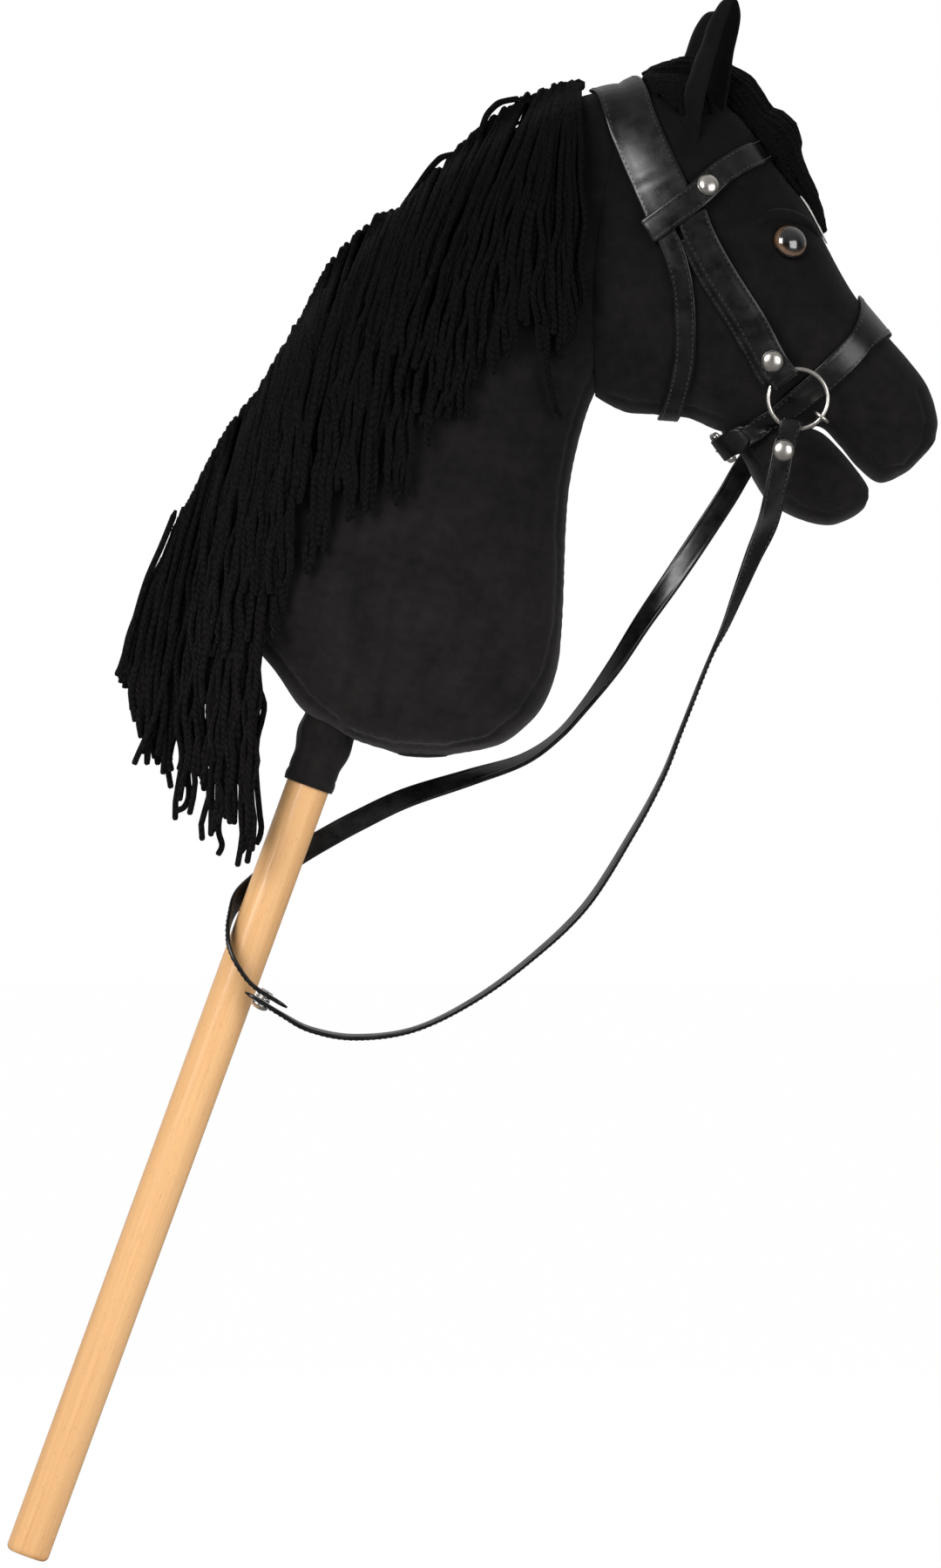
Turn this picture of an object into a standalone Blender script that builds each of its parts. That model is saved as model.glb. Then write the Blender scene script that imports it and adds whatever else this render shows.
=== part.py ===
"""A stick hobby horse: a stuffed plush head on a beech dowel, with a yarn mane and a strap bridle.

Units are metres, +Z is up, +X is the way the horse faces and -Y is its near side. The origin is the
centre of the stick's foot. The stick leans forward, as it is held, so that the mane and reins hang plumb.
"""

import math

import bpy
import numpy as np
from mathutils import Matrix, Vector
from mathutils.bvhtree import BVHTree

MM = 0.001
NEAR, FAR = -1, 1
SIDES = {"near": NEAR, "far": FAR}

# Clearance between two pieces that touch
GAP = 0.35 * MM
# Extra height over the plush where it is hollow
PILE = 0.4 * MM

# Stick
STICK_D = 25.0 * MM
STICK_LENGTH = 800.0 * MM
STICK_LEAN = math.radians(20.1)
STICK_EDGE = 2.5 * MM

STICK_IN_NECK = 290.3 * MM

# Collar of the neck round the stick, measured along the stick from the neck's lower end
SLEEVE_DROP = 38.7 * MM
SLEEVE_TUCK = 10.3 * MM
SLEEVE_WALL = 1.6 * MM
SLEEVE_FLARE = 2.2 * MM
SLEEVE_HEM_BULGE = 0.5 * MM

# Stuffed forms, as crosswise stations in millimetres: upper x, upper z, lower x, lower z, half width
NECK_STATIONS = (
    (213, 460, 242, 459, 6),
    (188, 468, 271, 465, 26),
    (171, 477, 288, 477, 38),
    (157, 487, 298, 490, 45),
    (143, 507, 305, 509, 50),
    (127, 527, 307.5, 529, 53),
    (112, 553, 309, 557, 55),
    (105, 583, 310, 590, 55),
    (112, 613, 312, 613, 55),
    (129, 648, 317, 638, 54),
    (152, 690, 324, 661, 53),
    (177, 727, 335, 683, 52),
    (205, 758, 347, 713, 50),
    (237, 789, 359, 748, 47),
    (272, 814, 366, 783, 42),
    (302, 832, 367, 813, 35),
    (330, 841, 365, 834, 22),
    (343, 843, 358, 841, 6),
)
HEAD_STATIONS = (
    (318, 775, 313, 735, 14),
    (326, 815, 312, 698, 36),
    (340, 842, 320, 672, 45),
    (360, 848.5, 341, 657, 51),
    (385, 844, 361, 654.5, 54),
    (410, 826, 380, 652.5, 54),
    (429, 800, 396, 646, 52),
    (447.5, 776, 416, 641, 48),
    (460, 751, 436, 643, 43),
    (475, 724, 454, 648, 39),
    (490.5, 704.5, 466, 637.5, 36),
    (506, 687, 477, 624.5, 34),
    (517.5, 671, 490, 615.5, 30),
    (523, 653, 506, 622, 21),
    (522, 641, 516, 632, 7),
)
JAW_STATIONS = (
    (398, 655, 398, 646, 13),
    (408, 657, 404, 637, 21),
    (418, 655, 411.5, 629, 25),
    (430, 652, 418, 616, 27),
    (443, 649, 427, 604, 28),
    (456, 645, 443, 595, 28),
    (467, 635, 459, 591, 26),
    (477, 623, 471, 594, 22),
    (483, 614, 480, 600, 14),
    (483.5, 609, 483, 605.5, 5),
)
NECK_POWER, HEAD_POWER, JAW_POWER = 2.5, 2.25, 2.2
NECK_RINGS, HEAD_RINGS, JAW_RINGS = 26, 25, 13
FORM_SIDES = 18
SKIN_FINENESS = 3

# Ears
EAR_BASES = {"near": (390, 30.5, 819), "far": (384, 30.5, 820)}
EAR_TIPS = {"near": (406, 30, 893), "far": (397, 30, 888)}
EAR_WIDTH = 27.0 * MM
EAR_WALL = 4.5 * MM
EAR_HOLLOW = math.radians(215)
EAR_BOW = 5.0 * MM

# Safety eyes
EYE_AT = (437.5, 752.5)
EYE_D = 20.0 * MM
EYE_DOME = 7.0 * MM
EYE_RIM = 1.2 * MM
EYE_SHANK_D = 4.0 * MM
EYE_SHANK = 12.0 * MM
EYE_SEAT = 1.4 * MM
PLUSH_SKIN = 1.8 * MM
WASHER_D = 15.0 * MM
WASHER_T = 1.2 * MM

# Strap leather
STRAP_T = 2.0 * MM
BROWBAND_T = 1.4 * MM
LINING_T = 1.0 * MM
REIN_T = 2.4 * MM
CROWN_WIDTH = 29.0 * MM
CHEEK_WIDTH = 17.5 * MM
LINING_WIDTH = 18.0 * MM
LINING_SHIFT = 3.8 * MM
THROAT_WIDTH = 12.0 * MM
BROWBAND_WIDTH = 14.5 * MM
NOSEBAND_WIDTH = 15.5 * MM
NOSEBAND_BRIDGE = 30.0 * MM
NOSEBAND_CHIN = 14.0 * MM
REIN_WIDTH = 12.5 * MM

# Rings and bit
RING_AT = (442, 663)
RING_OFFSET = 49.0 * MM
RING_OUTER_D = 36.5 * MM
RING_WIRE = 2.5 * MM
BIT_ANGLE = math.radians(-38)
BIT_BAR_D = 5.0 * MM
BIT_EYE_R = 4.4 * MM
BIT_EYE_WIRE = 2.2 * MM

# Rivet studs
STUD_D = 12.5 * MM
STUD_DOME = 3.0 * MM
STUD_RIM = 0.6 * MM
STUD_POST_D = 3.2 * MM

# Press-stud between the reins
SNAP_CAP_D = 11.0 * MM
SNAP_DOME = 3.0 * MM
SNAP_POST_D = 3.0 * MM
SNAP_SOCKET_D = 9.0 * MM
SNAP_SOCKET_T = 1.2 * MM
SNAP_BALL_D = 3.8 * MM
SNAP_FLANGE_T = 0.5 * MM

# Chin buckle
BUCKLE_WIDTH = 20.5 * MM
BUCKLE_LENGTH = 13.0 * MM
BUCKLE_WIRE = 2.2 * MM

# Yarn
MANE_TAPE_WIDTH = 9.0 * MM
MANE_TAPE_T = 1.2 * MM
MANE_THICKNESS = 12.0 * MM
MANE_TIP_THICKNESS = 5.0 * MM
YARN_LEAN = 0.10


class Smooth:
    """A smooth curve through rows of numbers, in order (Catmull-Rom)."""

    def __init__(self, rows):
        rows = np.asarray(rows, float)
        self.last = len(rows) - 1
        self.rows = np.vstack([2 * rows[0] - rows[1], rows, 2 * rows[-1] - rows[-2]])

    def at(self, spots):
        cell = np.clip(np.floor(spots).astype(int), 0, self.last - 1)
        f = (np.asarray(spots) - cell)[:, None]
        a, b, c, d = (self.rows[cell + k] for k in range(4))
        bend = (2 * a - 5 * b + 4 * c - d) * f**2 + (3 * (b - c) + d - a) * f**3
        return 0.5 * (2 * b + (c - a) * f + bend)

    def sample(self, count):
        return self.at(np.linspace(0, self.last, round(count)))


def unit(vectors):
    vectors = np.asarray(vectors, float)
    return vectors / np.linalg.norm(vectors, axis=-1, keepdims=True)


def lengths_along(points):
    steps = np.linalg.norm(np.diff(points, axis=0), axis=1)
    return np.concatenate([[0.0], np.cumsum(steps)])


def evenly(columns, spacing):
    """Rows spaced evenly by the distance along their first three columns."""
    along = lengths_along(columns[:, :3])
    count = max(3, round(along[-1] / spacing) + 1)
    wanted = np.linspace(0, along[-1], count)
    return np.stack([np.interp(wanted, along, column) for column in columns.T], axis=1)


def smoothstep(low, high, values):
    t = np.clip((np.asarray(values, float) - low) / (high - low), 0, 1)
    return t * t * (3 - 2 * t)


def material(name, colour, roughness, metallic=0.0):
    made = bpy.data.materials.get(name) or bpy.data.materials.new(name)
    made.use_nodes = True
    shader = made.node_tree.nodes["Principled BSDF"]
    shader.inputs["Base Color"].default_value = (*colour, 1)
    shader.inputs["Roughness"].default_value = roughness
    shader.inputs["Metallic"].default_value = metallic
    made.diffuse_color = (*colour, 1)
    return made


PLUSH = ("black_plush", (0.012, 0.011, 0.011), 0.95)
YARN = ("black_yarn", (0.010, 0.010, 0.010), 0.9)
LEATHER = ("black_leather", (0.016, 0.015, 0.015), 0.35)
WHITE_PLUSH = ("white_plush", (0.85, 0.84, 0.82), 0.9)
NICKEL = ("nickel", (0.75, 0.72, 0.68), 0.18, 1.0)
AMBER = ("amber_eye", (0.16, 0.07, 0.03), 0.08)
CLEAR_PLASTIC = ("white_plastic", (0.8, 0.8, 0.78), 0.4)
BEECH = ("beech", (0.78, 0.50, 0.26), 0.35)


def add_object(name, points, faces, look, smooth=True):
    """A named object from points and faces, turned inside out first if its volume is negative."""
    mesh = bpy.data.meshes.new(name)
    mesh.from_pydata(np.asarray(points, float).tolist(), [], faces)
    mesh.validate()
    mesh.calc_loop_triangles()
    corners = np.array([[mesh.vertices[v].co for v in t.vertices] for t in mesh.loop_triangles])
    if np.linalg.det(corners).sum() < 0:
        mesh.flip_normals()
    if smooth:
        mesh.shade_smooth()
        mesh.set_sharp_from_angle(angle=math.radians(40))
    mesh.materials.append(material(*look))
    made = bpy.data.objects.new(name, mesh)
    bpy.context.scene.collection.objects.link(made)
    return made


def add_cutter(name, points, faces):
    made = add_object(name, points, faces, PLUSH, smooth=False)
    made.hide_render = True
    made.display_type = "WIRE"
    return made


def cut(target, cutter, operation="DIFFERENCE"):
    boolean = target.modifiers.new(cutter.name, "BOOLEAN")
    boolean.operation = operation
    boolean.object = cutter
    boolean.solver = "EXACT"


def tube_faces(rings, sides, closed_path=False):
    """Quads between rings of points. Points run ring by ring."""
    faces = []
    for i in range(rings if closed_path else rings - 1):
        here, there = i * sides, (i + 1) % rings * sides
        for j in range(sides):
            k = (j + 1) % sides
            faces.append((here + j, here + k, there + k, there + j))
    return faces


def capped_tube(rings_of_points, first_pole, last_pole):
    """Rings of points closed by a fan to a pole at each end."""
    rings, sides = rings_of_points.shape[:2]
    points = np.vstack([rings_of_points.reshape(-1, 3), first_pole, last_pole])
    faces = tube_faces(rings, sides)
    first, last = rings * sides, rings * sides + 1
    for j in range(sides):
        k = (j + 1) % sides
        faces.append((first, k, j))
        faces.append((last, (rings - 1) * sides + j, (rings - 1) * sides + k))
    return points, faces


def stuffed_form(stations, power, rings, grow=0.0, sides=FORM_SIDES):
    """A loft through superelliptic sections, each standing on its upper and lower outline points."""
    rows = Smooth(stations).sample(rings) * MM
    upper = np.stack([rows[:, 0], 0 * rows[:, 0], rows[:, 1]], axis=1)
    lower = np.stack([rows[:, 2], 0 * rows[:, 0], rows[:, 3]], axis=1)
    centre = (upper + lower) / 2
    axis = unit(upper - lower)
    tall = np.linalg.norm(upper - lower, axis=1) / 2 + grow
    wide = rows[:, 4] + grow
    angle = np.linspace(0, 2 * math.pi, round(sides), endpoint=False)
    c, s = np.cos(angle), np.sin(angle)
    u = np.sign(c) * np.abs(c) ** (2 / power)
    v = np.sign(s) * np.abs(s) ** (2 / power)
    points = centre[:, None] + axis[:, None] * (tall[:, None] * u)[..., None]
    points[..., 1] += wide[:, None] * v
    first = centre[0] - unit(centre[1] - centre[0]) * (wide[0] * 0.35 + grow)
    last = centre[-1] + unit(centre[-1] - centre[-2]) * (wide[-1] * 0.35 + grow)
    return capped_tube(points, first, last)


def neck_form(grow=0.0, finer=1):
    rings = (NECK_RINGS - 1) * finer + 1
    return stuffed_form(NECK_STATIONS, NECK_POWER, rings, grow, FORM_SIDES * finer)


def head_form(grow=0.0, finer=1):
    rings = (HEAD_RINGS - 1) * finer + 1
    return stuffed_form(HEAD_STATIONS, HEAD_POWER, rings, grow, FORM_SIDES * finer)


def jaw_form(grow=0.0, finer=1):
    rings = (JAW_RINGS - 1) * finer + 1
    return stuffed_form(JAW_STATIONS, JAW_POWER, rings, grow, FORM_SIDES * finer)


def frame_along(direction, hint=(0, 1, 0)):
    """A matrix whose Z axis runs along a direction."""
    z = Vector(direction).normalized()
    x = Vector(hint).cross(z)
    if x.length < 1e-6:
        x = Vector((1, 0, 0)).cross(z)
    x.normalize()
    y = z.cross(x)
    return Matrix((x, y, z)).transposed().to_4x4()


def turned(profile, sides, at=(0, 0, 0), direction=(0, 0, 1)):
    """A closed turned solid from (radius, height) pairs whose first and last lie on the axis."""
    angle = np.linspace(0, 2 * math.pi, round(sides), endpoint=False)
    body = np.array(profile[1:-1], float)
    ring = np.stack([np.cos(angle), np.sin(angle), 0 * angle], axis=1)
    points = body[:, None, :1] * ring[None]
    points[..., 2] = body[:, None, 1]
    solid, faces = capped_tube(points, [0, 0, profile[0][1]], [0, 0, profile[-1][1]])
    place = Matrix.Translation(at) @ frame_along(direction)
    return np.array([place @ Vector(p) for p in solid]), faces


def turned_ring(profile, sides, at=(0, 0, 0), direction=(0, 0, 1)):
    """A closed turned ring from (radius, height) pairs that go once round its section."""
    angle = np.linspace(0, 2 * math.pi, round(sides), endpoint=False)
    section = np.array(profile, float)
    points = np.zeros((sides, len(section), 3))
    points[..., 0] = np.cos(angle)[:, None] * section[:, 0]
    points[..., 1] = np.sin(angle)[:, None] * section[:, 0]
    points[..., 2] = section[:, 1]
    faces = tube_faces(sides, len(section), closed_path=True)
    place = Matrix.Translation(at) @ frame_along(direction)
    return np.array([place @ Vector(p) for p in points.reshape(-1, 3)]), faces


def wire_ring(radius, wire, at, direction, sides=36, around=8):
    angle = np.linspace(0, 2 * math.pi, around, endpoint=False)
    section = [(radius + wire / 2 * math.cos(a), wire / 2 * math.sin(a)) for a in angle]
    return turned_ring(section, sides, at, direction)


def rod(start, end, radius, sides=24, edge=0.0):
    """A round rod whose ends are rounded by edge."""
    start, end = Vector(start), Vector(end)
    length = (end - start).length
    turns = [(radius - edge + edge * math.sin(a), edge - edge * math.cos(a)) for a in (0, 0.5, 1.05, 1.57)]
    if not edge:
        turns = [(radius, 0.0)]
    profile = [(0, 0), *turns, *[(r, length - h) for r, h in reversed(turns)], (0, length)]
    return turned(profile, sides, start, end - start)


# The plush skin that the straps, the yarn and the eyes are laid on

def skin_tree(grow):
    """The outside of neck, head and lower jaw together, as a search tree."""
    parts = []
    for name, form in (("skin_neck", neck_form), ("skin_head", head_form), ("skin_jaw", jaw_form)):
        parts.append(add_cutter(name, *form(grow, SKIN_FINENESS)))
    for other in parts[1:]:
        cut(parts[0], other, "UNION")
    bpy.context.view_layer.update()
    evaluated = parts[0].evaluated_get(bpy.context.evaluated_depsgraph_get())
    mesh = evaluated.to_mesh()
    tree = BVHTree.FromPolygons([v.co.copy() for v in mesh.vertices], [p.vertices[:] for p in mesh.polygons])
    evaluated.to_mesh_clear()
    for part in parts:
        bpy.data.objects.remove(part)
    return tree


def nearest_on(tree, points):
    """The nearest skin points to an array of points, and the outward directions there."""
    flat = np.asarray(points, float).reshape(-1, 3)
    found = [tree.find_nearest(Vector(p)) for p in flat]
    spots = np.array([f[0] for f in found]).reshape(np.shape(points))
    facing = np.array([f[1] for f in found]).reshape(np.shape(points))
    return spots, facing


def seen_on(tree, x, z, side):
    """The skin point and outward direction met by looking straight at one side, or None."""
    hit = tree.ray_cast(Vector((x, side * 0.4, z)), Vector((0, -side, 0)))
    return hit if hit[0] else None


class Bed:
    """What a strap is laid on: rows of points across its width, each with an outward direction.

    A place on it is given by the distance along the strap and the height over the bed.
    """

    def __init__(self, points, facing, across):
        self.points, self.facing, self.across = points, facing, across
        self.along = lengths_along(points.mean(axis=1))

    def place(self, along, height):
        spot = np.interp(along, self.along, np.arange(len(self.along)))
        cell = np.minimum(spot.astype(int), len(self.along) - 2)
        f = (spot - cell)[:, None, None]
        beyond = along - np.clip(along, self.along[0], self.along[-1])
        ends = unit(self.points[cell + 1] - self.points[cell])
        points = self.points[cell] * (1 - f) + self.points[cell + 1] * f + ends * beyond[:, None, None]
        facing = unit(self.facing[cell] * (1 - f) + self.facing[cell + 1] * f)
        return points + facing * height[:, None, None]

    def middle(self, along, height):
        rows = self.place(np.atleast_1d(along), np.atleast_1d(height))
        inner = rows[:, (rows.shape[1] - 1) // 2 : rows.shape[1] // 2 + 1]
        return inner.mean(axis=1)

    def nearest_along(self, point, first=0.0, last=1.0):
        """The distance along at which the bed passes nearest a point, within a part of its length."""
        spots = np.linspace(first, last, 400) * self.along[-1]
        away = np.linalg.norm(self.middle(spots, 0 * spots) - np.asarray(point), axis=1)
        return spots[np.argmin(away)]


def soften(values, passes):
    for _ in range(passes):
        inner = (values[:-2] + 2 * values[1:-1] + values[2:]) / 4
        values = np.concatenate([values[:1], inner, values[-1:]])
    return values


def skin_bed(tree, route, width, rows, spacing=4 * MM, shift=0.0):
    """A bed on the skin along a route. The width is one number or a function of the share along."""
    line = evenly(Smooth(np.array(route) * MM).sample(40 * len(route)), spacing)
    line, facing = nearest_on(tree, line)
    line = evenly(soften(line, 3), spacing)
    line, facing = nearest_on(tree, line)
    facing = unit(soften(facing, 4))
    across = unit(np.cross(np.gradient(line, axis=0), facing))
    share = np.linspace(0, 1, len(line))
    half = (width(share) if callable(width) else width + 0 * share) / 2
    offsets = half[:, None] * np.linspace(-1, 1, rows) + shift
    wanted = line[:, None] + across[:, None] * offsets[..., None]
    points, turns = nearest_on(tree, wanted)
    return Bed(points, unit(soften(turns, 4)), across)


def flat_rows(line, across, width, rows):
    offsets = np.linspace(-0.5, 0.5, rows) * width
    return line[:, None] + across[:, None] * offsets[None, :, None]


def strap(bed, along, height, thickness, narrow=None):
    """A strap whose middle follows (along, height) on a bed. It may turn back over itself.

    narrow gives a share of the bed's width at each step, for pointed ends.
    """
    along, height = np.asarray(along, float), np.asarray(height, float)
    thick = np.broadcast_to(thickness, along.shape)
    lean = unit(np.stack([-np.gradient(height), np.gradient(along)], axis=1))
    low = bed.place(along - lean[:, 0] * thick / 2, height - lean[:, 1] * thick / 2)
    high = bed.place(along + lean[:, 0] * thick / 2, height + lean[:, 1] * thick / 2)
    rows = low.shape[1]
    rings = np.concatenate([low, high[:, ::-1]], axis=1)
    if narrow is not None:
        level = np.concatenate([low.mean(axis=1, keepdims=True)] * rows + [high.mean(axis=1, keepdims=True)] * rows, axis=1)
        rings = level + (rings - level) * np.asarray(narrow)[:, None, None]
    points = rings.reshape(-1, 3)
    faces = tube_faces(len(rings), 2 * rows)
    last = (len(rings) - 1) * 2 * rows
    for j in range(rows - 1):
        k = 2 * rows - 1 - j
        faces.append((j + 1, j, k, k - 1))
        faces.append((last + j, last + j + 1, last + k - 1, last + k))
    return points, faces


def pad_on(bed, along, under, swell):
    """A soft roll on a bed: flat underneath at one height and domed across by swell."""
    low = bed.place(along, under + 0 * along)
    rows = low.shape[1]
    dome = np.sqrt(np.clip(1 - np.linspace(-1, 1, rows) ** 2, 0.04, 1))
    high = low + (bed.place(along, under + swell) - low) * dome[None, :, None]
    return slab(low, high)


def slab(low, high):
    """A closed solid between two grids of points with the same numbers of rows."""
    rows, columns = low.shape[:2]
    points = np.concatenate([low.reshape(-1, 3), high.reshape(-1, 3)])
    top = rows * columns
    faces = []
    for i in range(rows - 1):
        for j in range(columns - 1):
            a, b = i * columns + j, (i + 1) * columns + j
            faces.append((a, a + 1, b + 1, b))
            faces.append((top + a, top + b, top + b + 1, top + a + 1))
    rim = [(i, 0) for i in range(rows)] + [(rows - 1, j) for j in range(1, columns)]
    rim += [(i, columns - 1) for i in range(rows - 2, -1, -1)] + [(0, j) for j in range(columns - 2, 0, -1)]
    ids = [i * columns + j for i, j in rim]
    for a, b in zip(ids, ids[1:] + ids[:1]):
        faces.append((a, b, top + b, top + a))
    return points, faces


def run(start, end, spacing=5 * MM):
    """Distances from start to end, both included."""
    return np.linspace(start, end, max(2, round(abs(end - start) / spacing) + 1))


def turn_back(along, height, radius, towards, steps=7):
    """The half circle of a fold, from below to above, whose nose points the given way along the strap."""
    angle = np.linspace(-math.pi / 2, math.pi / 2, steps)
    return along + towards * radius * np.cos(angle), height + radius * np.sin(angle)


def mirrored(points):
    return np.asarray(points) * np.array([1, -1, 1])


def turn_about(made, point):
    """Moves an object's origin to a point on its joint's axis, leaving its shape where it is."""
    made.data.transform(Matrix.Translation(-Vector(point)))
    made.location = Vector(point)


def clear_scene():
    for thing in list(bpy.data.objects):
        bpy.data.objects.remove(thing)


def side_point(values, side):
    """A point given in millimetres as x, distance from the middle, z."""
    return Vector((values[0], side * values[1], values[2])) * MM


clear_scene()
STICK_AXIS = Vector((math.sin(STICK_LEAN), 0, math.cos(STICK_LEAN)))
neck_foot = (NECK_STATIONS[0][0] + NECK_STATIONS[0][2]) / 2 * MM * STICK_AXIS.x
neck_foot += (NECK_STATIONS[0][1] + NECK_STATIONS[0][3]) / 2 * MM * STICK_AXIS.z
stick_top = neck_foot + STICK_IN_NECK
stick_foot = stick_top - STICK_LENGTH
sleeve_hem = neck_foot - SLEEVE_DROP
sleeve_top = neck_foot + SLEEVE_TUCK
skin = skin_tree(0.0)
yarn_bed_height = GAP + PILE + MANE_TAPE_T + GAP + 2 * PILE
yarn_skin = skin_tree(yarn_bed_height)


# Stick and its collar

add_object("stick", *rod(STICK_AXIS * stick_foot, STICK_AXIS * stick_top, STICK_D / 2, 24, STICK_EDGE), BEECH)

bore = STICK_D / 2 + GAP
outer = bore + SLEEVE_WALL
sleeve_profile = [
    (bore, sleeve_hem),
    (outer, sleeve_hem + 0.2 * MM),
    (outer + SLEEVE_HEM_BULGE, sleeve_hem + 3 * MM),
    (outer, sleeve_hem + 7 * MM),
    (outer + 0.3 * SLEEVE_FLARE, sleeve_hem + 20 * MM),
    (outer + SLEEVE_FLARE, sleeve_hem + 33 * MM),
    (outer + SLEEVE_FLARE, sleeve_top),
    (bore, sleeve_top),
]
sleeve = add_object("stick_sleeve", *turned_ring(sleeve_profile, 24, direction=STICK_AXIS), PLUSH)


# Stuffed neck, head and lower jaw

neck = add_object("neck", *neck_form(), PLUSH)
stick_bore = add_cutter(
    "cut_stick_bore",
    *rod(STICK_AXIS * (sleeve_hem - 60 * MM), STICK_AXIS * (stick_top + GAP), bore, 24),
)
cut(neck, stick_bore)
neck_grown = add_cutter("cut_neck", *neck_form(GAP))
cut(sleeve, neck_grown)

head = add_object("head", *head_form(), PLUSH)
cut(head, neck_grown)

jaw = add_object("lower_jaw", *jaw_form(), PLUSH)
head_grown = add_cutter("cut_head", *head_form(GAP))
cut(jaw, head_grown)


# Ring, mouthpiece and the bore for it through the lips

ring_r = (RING_OUTER_D - RING_WIRE) / 2
bit_x = RING_AT[0] * MM + ring_r * math.cos(BIT_ANGLE)
bit_z = RING_AT[1] * MM + ring_r * math.sin(BIT_ANGLE)
for side_name, side in SIDES.items():
    centre = Vector((RING_AT[0] * MM, side * RING_OFFSET, RING_AT[1] * MM))
    ring = wire_ring(ring_r, RING_WIRE, (0, 0, 0), (0, 1, 0), 32, 6)
    placed = add_object(f"{side_name}_ring", *ring, NICKEL)
    placed.location = centre

bar_half = RING_OFFSET - BIT_EYE_R
bar_ends = [(bit_x, -bar_half, bit_z), (bit_x, bar_half, bit_z)]
mouthpiece = add_object("mouthpiece", *rod(*bar_ends, BIT_BAR_D / 2, 12), NICKEL)
wire_way = (-math.sin(BIT_ANGLE), 0, math.cos(BIT_ANGLE))
for side_name, side in SIDES.items():
    eye = wire_ring(BIT_EYE_R, BIT_EYE_WIRE, (bit_x, side * RING_OFFSET, bit_z), wire_way, 14, 6)
    cut(mouthpiece, add_cutter(f"join_bit_eye_{side_name}", *eye), "UNION")

bit_bore = add_cutter("cut_bit_bore", *rod((bit_x, -0.1, bit_z), (bit_x, 0.1, bit_z), BIT_BAR_D / 2 + GAP, 12))
cut(head, bit_bore)
cut(jaw, bit_bore)


# Eyes, each with a shank through the plush and a lock washer behind it

def eye_socket(grow=0.0):
    """The space for the rim, the plush left between rim and washer, and the washer's pocket."""
    rim, shank, pocket = EYE_D / 2 + GAP, EYE_SHANK_D / 2 + GAP, WASHER_D / 2 + GAP
    plush_end = -EYE_SEAT - PLUSH_SKIN
    pocket_end = plush_end - WASHER_T - 2 * GAP
    return [
        (0, -EYE_SHANK - EYE_SEAT - GAP),
        (shank, -EYE_SHANK - EYE_SEAT - GAP),
        (shank, pocket_end),
        (pocket, pocket_end),
        (pocket, plush_end),
        (shank, plush_end),
        (shank, -EYE_SEAT),
        (rim, -EYE_SEAT),
        (rim, 6 * MM),
        (0, 6 * MM),
    ]


def eye_profile():
    rim, shank = EYE_D / 2, EYE_SHANK_D / 2
    back = -EYE_SEAT + GAP
    dome = []
    for share in (0, 0.25, 0.5, 0.75, 0.92):
        turn = share * math.pi / 2
        dome.append((rim * math.cos(turn), back + EYE_RIM + EYE_DOME * math.sin(turn)))
    foot = -EYE_SHANK - EYE_SEAT
    return [(0, foot), (shank - 0.4 * MM, foot), (shank, foot + 1 * MM), (shank, back), (rim, back), *dome,
            (0, back + EYE_RIM + EYE_DOME)]


for side_name, side in SIDES.items():
    seat, facing, _, _ = seen_on(skin, EYE_AT[0] * MM, EYE_AT[1] * MM, side)
    socket = add_cutter(f"cut_{side_name}_eye", *turned(eye_socket(), 16, seat, facing))
    cut(head, socket)
    add_object(f"{side_name}_eye", *turned(eye_profile(), 16, seat, facing), AMBER)
    hole = EYE_SHANK_D / 2 + 0.1 * MM
    top = -EYE_SEAT - PLUSH_SKIN - GAP
    washer = [(hole, top), (hole, top - WASHER_T), (WASHER_D / 2, top - WASHER_T), (WASHER_D / 2, top)]
    add_object(f"{side_name}_eye_washer", *turned_ring(washer, 16, seat, facing), CLEAR_PLASTIC)


# Eyelids: a soft roll of plush over each eye

LID_ROUTE = ((418.5, 762), (426, 769.5), (435, 770.5), (445, 766.5), (453, 758.5))
LID_WIDTH = 6.5 * MM
LID_HEIGHT = 4.0 * MM
for side_name, side in SIDES.items():
    route = []
    for x, z in LID_ROUTE:
        spot = seen_on(skin, x * MM, z * MM, side)[0]
        route.append(tuple(spot / MM))
    bed = skin_bed(skin, route, lambda t: LID_WIDTH * (0.35 + 0.65 * np.sin(math.pi * t) ** 0.6), 5, 3 * MM)
    along = run(0, bed.along[-1], 5 * MM)
    swell = LID_HEIGHT * (0.3 + 0.7 * np.sin(math.pi * along / bed.along[-1]) ** 0.7)
    add_object(f"{side_name}_eyelid", *pad_on(bed, along, GAP, swell), PLUSH)


# Ears: folded leaves of plush, hollow to the front

EAR_RINGS = 10
EAR_ACROSS = 7


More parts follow.
